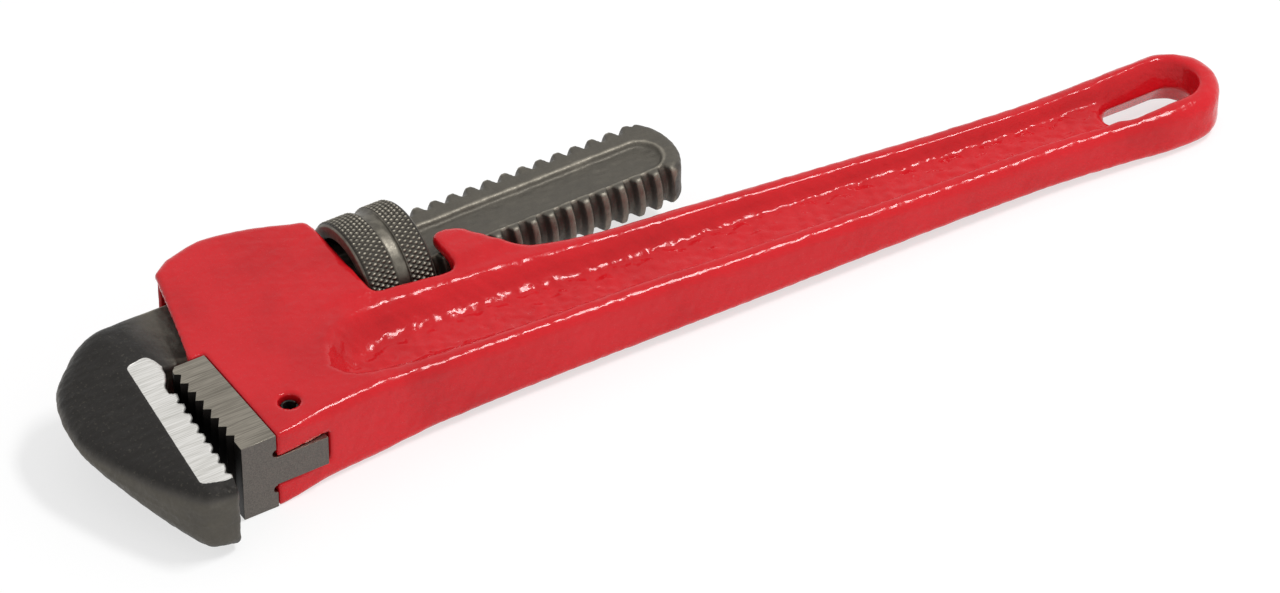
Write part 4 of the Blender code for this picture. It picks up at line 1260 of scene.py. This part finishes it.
    def half_thickness(self, x: Array, y: Array) -> Array:
        """Give half the thickness: slab shank, ramp up to the head, wedge down to the rim.

        Args:
            x, y: Points seen from above.

        Returns:
            The height of the face over the middle plane.
        """
        head_half = self.thickness / 2 + self.stock
        flat = self.shank_half + ramp(-x, *self.neck) * (head_half - self.shank_half)
        cheek = self.cheek_x + self.cheek_slope * y - self.wedge_offset
        return flat - self.wedge_slope * smooth_most(cheek - x, 0 * x, self.wedge_rounding)

    def panel(self, x: Array, y: Array) -> Array:
        """Give the distance to the rim of the shank's sunk panel, a slot with round ends.

        Args:
            x, y: Points seen from above.

        Returns:
            The distance, negative inside the rim.
        """
        centre = self.thread.axis_y + (self.panel_far - self.panel_near) / 2
        radius = (self.panel_near + self.panel_far) / 2
        return slot_distance(x, y, self.panel_start + radius, self.panel_end - radius, centre, radius)

    def wear(self, x: Array, y: Array, z: Array) -> Array:
        """Give how bare the steel is rubbed, with the painted light on the head's sides and the panel's rim.

        The head's faces keep their scale, and its sides are painted lighter, which is painted light;
        the shank, which slides in the nut, keeps little scale; the thread's crests are rubbed
        brightest, and a painted highlight runs just outside the panel's rim.

        Args:
            x, y, z: Points on the surface.

        Returns:
            A share from 0 to 1.
        """
        head = ramp(-x, *self.wear_change)
        # Painted light: the head's sides are painted lighter than its faces.
        sides = self.side_painted_light * ramp(self.half_thickness(x, y) - np.abs(z), *self.side_depths)
        out, full = np.hypot(y - self.thread.axis_y, z), self.thread.crest_radius
        crest = ramp(out, *(full - depth for depth in self.crest_depths))
        # Painted highlight: a bright band just outside the panel's rim, on the flat faces.
        rim = np.exp(-((self.panel(x, y) - self.rim_highlight_line) / self.rim_highlight_width) ** 2)
        rim = rim * (np.abs(z) > self.shank_half - self.rim_highlight_depth)
        flank = 1 - ramp(out, *(full - depth for depth in self.flank_depths))
        flank = flank * (np.abs(z) < self.shank_half - self.flank_margin)
        shank = (self.shank_wear + (self.crest_wear_and_rim_highlight - self.shank_wear) * np.maximum(crest, rim)
                 - (self.shank_wear - self.flank_wear) * flank * (1 - crest))
        return head * sides + (1 - head) * shank

    def ground(self, x: Array, y: Array, z: Array) -> Array:
        """Return the distance to the boundary of the ground faces, negative on them."""
        lowest = self.thickness / 2 - self.ground_drop - self.ground_margin
        return np.maximum(self.strip.at(x, y)[0], lowest - np.abs(z))

    def shape(self, x: Array, y: Array, z: Array) -> Array:
        """Give the forging's distance field.

        It is the slab between its faces, less the panels, plus the forging's waves and the
        flash line round the head's edge, cut off outside the threaded rod and past the wheel
        that ground the tooth strip.  Below the shank and over the head the rod fades away.

        Args:
            x, y, z: Points in the working frame.

        Returns:
            The distance, negative in the metal.
        """
        height = np.abs(z)
        edge, radius = self.plan.at(x, y)
        half = self.half_thickness(x, y)
        panel = self.panel(x, y)
        sunk = smooth_most(-panel * self.panel_draft, 0 * panel, self.panel_rim_rounding)
        sunk = smooth_least(sunk, 0 * panel + self.panel_depth, self.panel_floor_rounding)
        skin = self.skin * self.scale.height(x, y, z)
        body = rounded_slab(edge, height - half + sunk, np.minimum(radius, self.edge_limit * half)) + skin
        flash = self.flash * np.exp(-(z / self.flash_width) ** 2) * ramp(radius, *self.flash_radii)
        body = body - flash * ramp(-x, *self.flash_change)
        above = y - self.thread.axis_y
        from_axis = np.hypot(np.where(above > 0, above, above * (1 - ramp(-x, 0, 10))), z)
        threaded = self.thread.radius(x, np.arctan2(z, above) / (2 * math.pi), self.thread_rounding)
        cut = ramp(x, self.thread_start - self.thread_run_in, self.thread_start)
        cut = cut * ramp(-x, *(stop - self.shank_reach for stop in self.thread_stops))
        rod = self.thread.crest_radius + cut * (threaded - self.thread.crest_radius)
        rod = rod + 0.15 * np.maximum(0, -12 - x)
        body = smooth_most(body, (from_axis - rod) * 0.87, 0.5 + 3.5 * ramp(-x, 2, 14))
        strip = self.strip.at(x, y)[0]
        wheel = np.maximum(strip, self.thickness / 2 - self.ground_drop + self.stock - height)
        return np.maximum(body, -wheel)

    def build(self, place: Place, finish: Material) -> None:
        """Mesh the forging, mark its ground faces, its wear and its painted light, and stand it in for its
        node.

        Args:
            place: Where the working frame lies.
            finish: Steel with ground faces.
        """
        top, margin = self.thickness / 2 + self.margin, self.margin
        axis, radius = self.thread.axis_y, self.thread.crest_radius
        points, faces = surface_of(self.shape, (-self.head_reach - margin, self.tip_y - margin, -top),
                                   (self.shank_reach + margin, axis + radius + margin, top), self.cell)
        piece = place.mesh("forged_hook_jaw", points, faces)
        add_attribute(piece, "ground_edge", self.ground(*points.T))
        # The wear attribute also carries painted light on the head's sides and a painted highlight along the
        # panel's rim.
        add_attribute(piece, "wear", self.wear(*points.T))
        deliver(piece, finish, "jaw", Slot.FORGED, "hook_jaw")


@dataclass
class KnurledNut:
    """Adjusting nut: a turned ring with two knurled bands, a groove and a threaded bore.

    A grid of places along the closed profile and angles round the axis.  On the bands the
    radius falls into two sets of grooves, triangle waves that cross at twice the helix angle;
    in the bore it follows the shank's thread with a clearance.
    """

    thread: Thread
    front: float = 47.1
    length: float = 18.4
    radius: float = 16.2
    front_band: float = 8.0
    groove_width: float = 3.6
    groove_depth: float = 1.0
    chamfer: float = 1.0
    clearance: float = 0.35
    knurl_depth: float = 0.5
    knurl_pitch: float = 1.22
    knurl_angle: float = 30.0
    gap_wear: float = 0.04
    point_sharpness: float = 1.7
    plain_wear: float = 0.56
    around: int = 520
    step: float = 0.24

    def profile(self) -> Array:
        """Draw the ring's section: both rims and both sides of the groove are mirror images.

        Returns:
            Rows of x, radius, knurl share and thread share along the closed profile.
        """
        def mirrored(rows: list, centre: float) -> list:
            """Return rows in reverse order on the other side of a place."""
            return [(2 * centre - x, *rest) for x, *rest in rows[::-1]]

        front, full, middle = self.front, self.radius, self.front + self.length / 2
        groove, low = front + self.front_band, full - self.groove_depth
        mouth, bore = self.thread.crest_radius + 0.7, self.thread.crest_radius + self.clearance
        rim = [(front, mouth, 0, 0), (front, full - self.chamfer, 0, 0), (front + 0.35, full - 0.55, 0, 0),
               (front + self.chamfer, full - 0.1, 0.5, 0), (front + self.chamfer + 0.3, full, 1, 0)]
        wall = [(groove - 0.3, full, 1, 0), (groove, full - 0.25, 0, 0), (groove + 0.3, low + 0.1, 0, 0),
                (groove + 0.6, low, 0, 0)]
        inner = [(front + 1.6, bore, 0, 1), (front + 0.4, bore, 0, 0)]
        corners = np.array(rim + wall + mirrored(wall, groove + self.groove_width / 2) + mirrored(rim, middle)
                           + mirrored(inner, middle) + inner + rim[:1])
        lengths = np.linalg.norm(np.diff(corners[:, :2], axis=0), axis=1)
        steps = np.where(corners[1:, 3] > 0, 2 * self.step, self.step)
        counts = np.maximum(1, np.ceil(lengths / steps)).astype(int)
        spans = [start + (end - start) * np.linspace(0, 1, count, endpoint=False)[:, None]
                 for start, end, count in zip(corners, corners[1:], counts)]
        return np.vstack(spans)

    def knurl(self, x: Array, angle: Array) -> Array:
        """Give the knurl's height: the lower of two triangle waves, stretched by a quarter.

        Each wave runs across one set of grooves, and a whole number of them go round.  A tenth
        of one is added, so that one set of grooves is shallower.

        Args:
            x: Places along the axis, from the nut's front.
            angle: Angles round it.

        Returns:
            The height, 1 on the points and 0 in the grooves.
        """
        helix = math.radians(self.knurl_angle)
        waves = round(2 * math.pi * self.radius * math.cos(helix) / self.knurl_pitch)
        rise = math.sin(helix) / self.knurl_pitch
        one, other = (1 - 2 * np.abs((waves * angle / (2 * math.pi) + sense * rise * x) % 1 - 0.5)
                      for sense in (1, -1))
        return np.clip(1.25 * np.minimum(one, other) + 0.1 * one, 0, 1)

    def build(self, place: Place, finish: Material) -> None:
        """Mesh the nut, mark its worn points and stand it in for its node.

        Args:
            place: Where the working frame lies.
            finish: Blackened steel.
        """
        profile = self.profile()
        x, radius, knurled, threaded = (profile[:, k, None] for k in range(4))
        angle = np.linspace(0, 2 * math.pi, self.around, endpoint=False)[None, :]
        points_up = self.knurl(x - self.front, angle)
        radius = radius - knurled * self.knurl_depth * (1 - points_up) + 0 * angle
        bore = self.thread.radius(x, angle / (2 * math.pi)) + self.clearance
        radius = radius + threaded * (bore - radius)
        on_bands = self.gap_wear + (1 - self.gap_wear) * knurled * points_up ** self.point_sharpness
        wear = np.where(knurled > 0, on_bands, self.plain_wear * (1 - threaded)) + 0 * angle
        points = np.stack([x + 0 * angle, self.thread.axis_y + radius * np.cos(angle),
                           radius * np.sin(angle)], axis=-1)
        faces = grid_faces(len(profile), self.around, True)
        piece = place.mesh("knurled_nut", points.reshape(-1, 3), faces)
        add_attribute(piece, "wear", wear.ravel())
        deliver(piece, finish, "nut", Slot.BLACKENED, "adjusting_nut")


@dataclass
class HeelJawSet:
    """Heel jaw and its cross pin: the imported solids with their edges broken.

    A face of the jaw is one of the teeth's if its middle lies within their depth of the front,
    and ground if its normal points up or down by more than upright, out of 1.
    """

    jaw_edge: float = 0.22
    tooth_depth: float = 3.2
    upright: float = 0.7
    pin_edge: float = 0.15

    def build(self, steel: Material, pin_steel: Material) -> None:
        """Dress both pieces and stand them in for their nodes.

        Args:
            steel: Ground steel of the jaw.
            pin_steel: Steel of the cross pin.
        """
        jaw = merged_copy("heel_jaw", "ground_heel_jaw")
        normals, middles = np.zeros((2, 3 * len(jaw.data.polygons)), np.float32)
        jaw.data.polygons.foreach_get("normal", normals)
        jaw.data.polygons.foreach_get("center", middles)
        on_teeth = middles[::3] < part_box("heel_jaw")[0].x + self.tooth_depth * MM
        kind = np.where(np.abs(normals[2::3]) > self.upright, 1.0, np.where(on_teeth, 0.0, 0.5))
        kinds = jaw.data.attributes.new("face_kind", "FLOAT", "FACE")
        kinds.data.foreach_set("value", kind.astype(np.float32))
        break_edges(jaw, self.jaw_edge)
        deliver(jaw, steel, "frame", Slot.GROUND, "heel_jaw")
        pin = merged_copy("heel_jaw_pin", "slotted_cross_pin")
        break_edges(pin, self.pin_edge)
        deliver(pin, pin_steel, "frame", Slot.BLACKENED, "heel_jaw_pin")


@dataclass
class ShankSprings:
    """Bowed leaf behind the shank and the coil in front of it.

    The coil's wire is a circle carried along a helix whose end turns lie close.
    """

    leaf_edge: float = 0.12
    coil_radius: float = 2.6
    wire_radius: float = 0.5
    turns: int = 5
    closed_turns: float = 0.75
    closed_rise: float = 0.8
    end_ring: float = 0.02
    steps: int = 40
    sides: int = 12

    def coil(self) -> tuple[Array, Array]:
        """Carry the wire's circle along the helix, shrunk to a small ring at both ends.

        Returns:
            Points in millimetres round the coil's axis, and faces.
        """
        low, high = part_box("coil_spring")
        origin = low.y / MM
        first, last = self.wire_radius, (high.y - low.y) / MM - self.wire_radius
        count = self.turns * self.steps
        turn = np.linspace(0, self.turns, count + 1)
        rise = np.interp(turn, [0, self.closed_turns, self.turns - self.closed_turns, self.turns],
                         [first, first + self.closed_rise, last - self.closed_rise, last]) + origin
        angle = 2 * math.pi * turn
        size = np.full(count + 1, self.wire_radius)
        size[[0, -1]] = self.end_ring
        round_wire = np.linspace(0, 2 * math.pi, self.sides, endpoint=False)
        reach = self.coil_radius + size[:, None] * np.cos(round_wire)
        points = np.stack([reach * np.cos(angle)[:, None], rise[:, None] + size[:, None] * np.sin(round_wire),
                           reach * np.sin(angle)[:, None]], axis=-1)
        return points.reshape(-1, 3), grid_faces(count + 1, self.sides, False)

    def build(self, place: Place, finish: Material) -> None:
        """Dress the leaf, mesh the coil and stand both in for their nodes.

        Args:
            place: Where the working frame lies.
            finish: Spring steel.
        """
        leaf = merged_copy("flat_spring", "bowed_leaf_spring")
        break_edges(leaf, self.leaf_edge)
        deliver(leaf, finish, "rocker", Slot.SPRING, "flat_spring")
        low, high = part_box("coil_spring")
        points, faces = self.coil()
        middle = np.array([(low.x + high.x) / 2 / MM, 0, (low.z + high.z) / 2 / MM])
        coil = place.mesh("wire_coil_spring", points + middle - np.array(place.origin) / MM, faces)
        bm = bmesh.new()
        bm.from_mesh(coil.data)
        bmesh.ops.holes_fill(bm, edges=[edge for edge in bm.edges if edge.is_boundary])
        bmesh.ops.recalc_face_normals(bm, faces=bm.faces)
        bm.to_mesh(coil.data)
        bm.free()
        deliver(coil, finish, "frame", Slot.SPRING, "coil_spring")


@dataclass(frozen=True)
class Softbox:
    """A rectangular soft lamp that faces the wrench.

    Attributes:
        name: Name of the lamp.
        direction: Where it hangs, as seen from the wrench.
        distance: How far away, in metres.
        size: Its two sides, in metres.
        power: Its power, in watts.
    """

    name: str
    direction: tuple[float, float, float]
    distance: float
    size: tuple[float, float]
    power: float

    def hang(self, aim: Sequence[float]) -> None:
        """Hang the lamp so that it faces a point.

        Args:
            aim: The point, in metres.
        """
        data = bpy.data.lights.new(self.name, "AREA")
        data.shape = "RECTANGLE"
        data.size, data.size_y = self.size
        data.energy = self.power
        lamp = put_in_scene(self.name, data)
        away = Vector(self.direction).normalized()
        lamp.location = Vector(aim) + away * self.distance
        lamp.rotation_euler = away.to_track_quat("Z", "Y").to_euler()


@dataclass
class Studio:
    """Pale floor, soft lamps and the camera, in metres.

    The wrench rests on its nut, the heel jaw's corner and the end of its handle, so the floor
    is the highest plane under all its points, as seen from its centre of mass.
    """

    azimuth: float = 32.1327
    elevation: float = 39.918
    distance: float = 1.56537
    focal_pixels: float = 6336.97
    image_width: float = 1280.0
    sensor: float = 36.0
    clip: tuple[float, float] = (0.05, 50.0)
    target: tuple[float, float, float] = (-0.004687, -0.011755, 0.0051)
    white: str = "#FFFFFF"
    floor_size: float = 12.0
    floor_gap: float = 0.00005
    floor_glow: float = 1.1
    glow_share: float = 0.6
    room_light: float = 0.5
    lamp_aim: tuple[float, float, float] = (-0.02, 0.0, 0.01)
    lamps: tuple[Softbox, ...] = (
        Softbox("overhead_softbox", (0.41, -0.16, 0.9), 1.5, (0.5, 0.22), 11.5),
        Softbox("front_softbox", (-0.3, -0.95, 0.1), 1.6, (1.2, 0.2), 5.2))

    def centre_and_points(self) -> tuple[Array, Array]:
        """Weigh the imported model, taken as one material.

        A solid's volume is the sum of the tetrahedra between its triangles and the origin, and
        a tetrahedron's centre is a quarter of the sum of its corners.

        Returns:
            The centre of mass, and the points of all nodes.
        """
        clouds, moments, volumes = [], [], []
        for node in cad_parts.values():
            points = np.zeros(3 * len(node.data.vertices), np.float32)
            node.data.vertices.foreach_get("co", points)
            points = points.reshape(-1, 3).astype(float)
            node.data.calc_loop_triangles()
            corners = np.zeros(3 * len(node.data.loop_triangles), np.int32)
            node.data.loop_triangles.foreach_get("vertices", corners)
            a, b, c = (points[corners[k::3]] for k in range(3))
            volume = np.einsum("ij,ij->i", a, np.cross(b, c)) / 6
            moments.append((volume[:, None] * (a + b + c) / 4).sum(axis=0))
            volumes.append(volume.sum())
            clouds.append(points)
        return np.sum(moments, axis=0) / np.sum(volumes), np.vstack(clouds)

    def rest_plane(self) -> tuple[Vector, Vector]:
        """Find how the wrench lies.

        The floor is z = ax + by + c, with c as high as every packed point allows.  Slopes a and
        b are searched on a grid that halves each round, for the greatest height below the
        centre of mass.  Only points low enough to touch the floor are tried.

        Returns:
            A point of the floor and its upward normal.
        """
        centre, points = self.centre_and_points()
        cloud = np.unique(np.round(points, 6), axis=0)
        low_enough, steepest, steps, rounds = 0.014, 0.2, 9, 14
        cloud = cloud[cloud[:, 2] < low_enough]
        best, reach = np.zeros(2), steepest
        for _ in range(rounds):
            shift = np.linspace(-reach, reach, steps)
            slopes = best + np.stack(np.meshgrid(shift, shift), axis=-1).reshape(-1, 2)
            heights = (cloud[:, 2, None] - cloud[:, :2] @ slopes.T).min(axis=0) + slopes @ centre[:2]
            best = slopes[heights.argmax()]
            reach /= 2
        level = (cloud[:, 2] - cloud[:, :2] @ best).min()
        LOG.info("floor slopes %.4f and %.4f", *best)
        return Vector((0, 0, level - self.floor_gap)), Vector((-best[0], -best[1], 1)).normalized()

    def floor(self) -> None:
        """Lay the floor: plain white that keeps the wrench's shadow."""
        point, normal = self.rest_plane()
        mesh = bpy.data.meshes.new("floor")
        half = self.floor_size / 2
        corners = [(-half, -half, 0), (half, -half, 0), (half, half, 0), (-half, half, 0)]
        mesh.from_pydata(corners, [], [(0, 1, 2, 3)])
        turn = normal.to_track_quat("Z", "Y").to_matrix().to_4x4()
        mesh.transform(Matrix.Translation(point) @ turn)
        made = bpy.data.materials.new("white_sweep")
        made.use_nodes = True
        tree = made.node_tree
        tree.nodes.clear()
        paint = add_node(tree, Kind.DIFFUSE, [linear(self.white)])
        glow = add_node(tree, Kind.EMISSION, [linear(self.white), self.floor_glow])
        lit = add_node(tree, Kind.MIX_SHADER, [self.glow_share, paint, glow])
        seen = add_node(tree, Kind.MIX_SHADER, [self.seen_directly(tree), paint, lit])
        add_node(tree, Kind.TO_MATERIAL, [seen])
        mesh.materials.append(made)
        put_in_scene("floor", mesh)

    @staticmethod
    def seen_directly(tree: Tree) -> Socket:
        """Tell the rays that should see white from those that light the wrench.

        Args:
            tree: Node tree of the floor or the world.

        Returns:
            1 for rays from the camera, and for those that mirror or pass through.
        """
        seen = add_node(tree, Kind.LIGHT_PATH, output="Is Camera Ray")
        for ray in ("Is Glossy Ray", "Is Transmission Ray"):
            other = add_node(tree, Kind.LIGHT_PATH, output=ray)
            seen = add_node(tree, Kind.MATHS, [seen, other], operation="MAXIMUM")
        return seen

    def world(self) -> None:
        """Fill the room with soft grey light, and show white where it is seen."""
        world = bpy.data.worlds.new("white_room")
        bpy.context.scene.world = world
        world.use_nodes = True
        tree = world.node_tree
        tree.nodes.clear()
        light, white = (add_node(tree, Kind.BACKGROUND, [linear(self.white), strength])
                        for strength in (self.room_light, 1.0))
        seen = add_node(tree, Kind.MIX_SHADER, [self.seen_directly(tree), light, white])
        add_node(tree, Kind.TO_WORLD, [seen])

    def camera(self) -> None:
        """Set the camera at the fitted angle, with a long lens and no shift."""
        a, e = math.radians(self.azimuth), math.radians(self.elevation)
        forward = Vector((math.sin(a) * math.cos(e), math.cos(a) * math.cos(e), -math.sin(e)))
        data = bpy.data.cameras.new("camera")
        data.sensor_fit = "HORIZONTAL"
        data.sensor_width = self.sensor
        data.lens = self.focal_pixels / self.image_width * self.sensor
        data.clip_start, data.clip_end = self.clip
        camera = put_in_scene("camera", data)
        camera.location = Vector(self.target) - forward * self.distance
        camera.rotation_euler = (-forward).to_track_quat("Z", "Y").to_euler()
        bpy.context.scene.camera = camera

    def build(self) -> None:
        """Set up the floor, the room, the lamps and the camera."""
        self.floor()
        self.world()
        for lamp in self.lamps:
            lamp.hang(self.lamp_aim)
        self.camera()
        bpy.context.scene.view_settings.view_transform = "Standard"


def main() -> None:
    """Build every piece in order, then the room."""
    logging.basicConfig(level=logging.INFO, format="%(name)s: %(message)s")
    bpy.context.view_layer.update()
    thread = Thread()
    handle = CastHandle(thread)
    place = Place.of_handle(handle.lip_reach, handle.housing_back_y)
    handle.build(place, RedEnamel().build())
    forged = HeatTreatedSteel(has_ground_faces=True, scratch_turn=6.0).build()
    ForgedHookJaw(thread).build(place, forged)
    KnurledNut(thread).build(place, BlackenedSteel().build())
    pin_steel = HeatTreatedSteel(name="blackened_spring_pin").build()
    HeelJawSet().build(GroundSteel(scratch_turn=-8.0).build(), pin_steel)
    ShankSprings().build(place, SpringSteel().build())
    Studio().build()


if __name__ == "__main__":
    main()
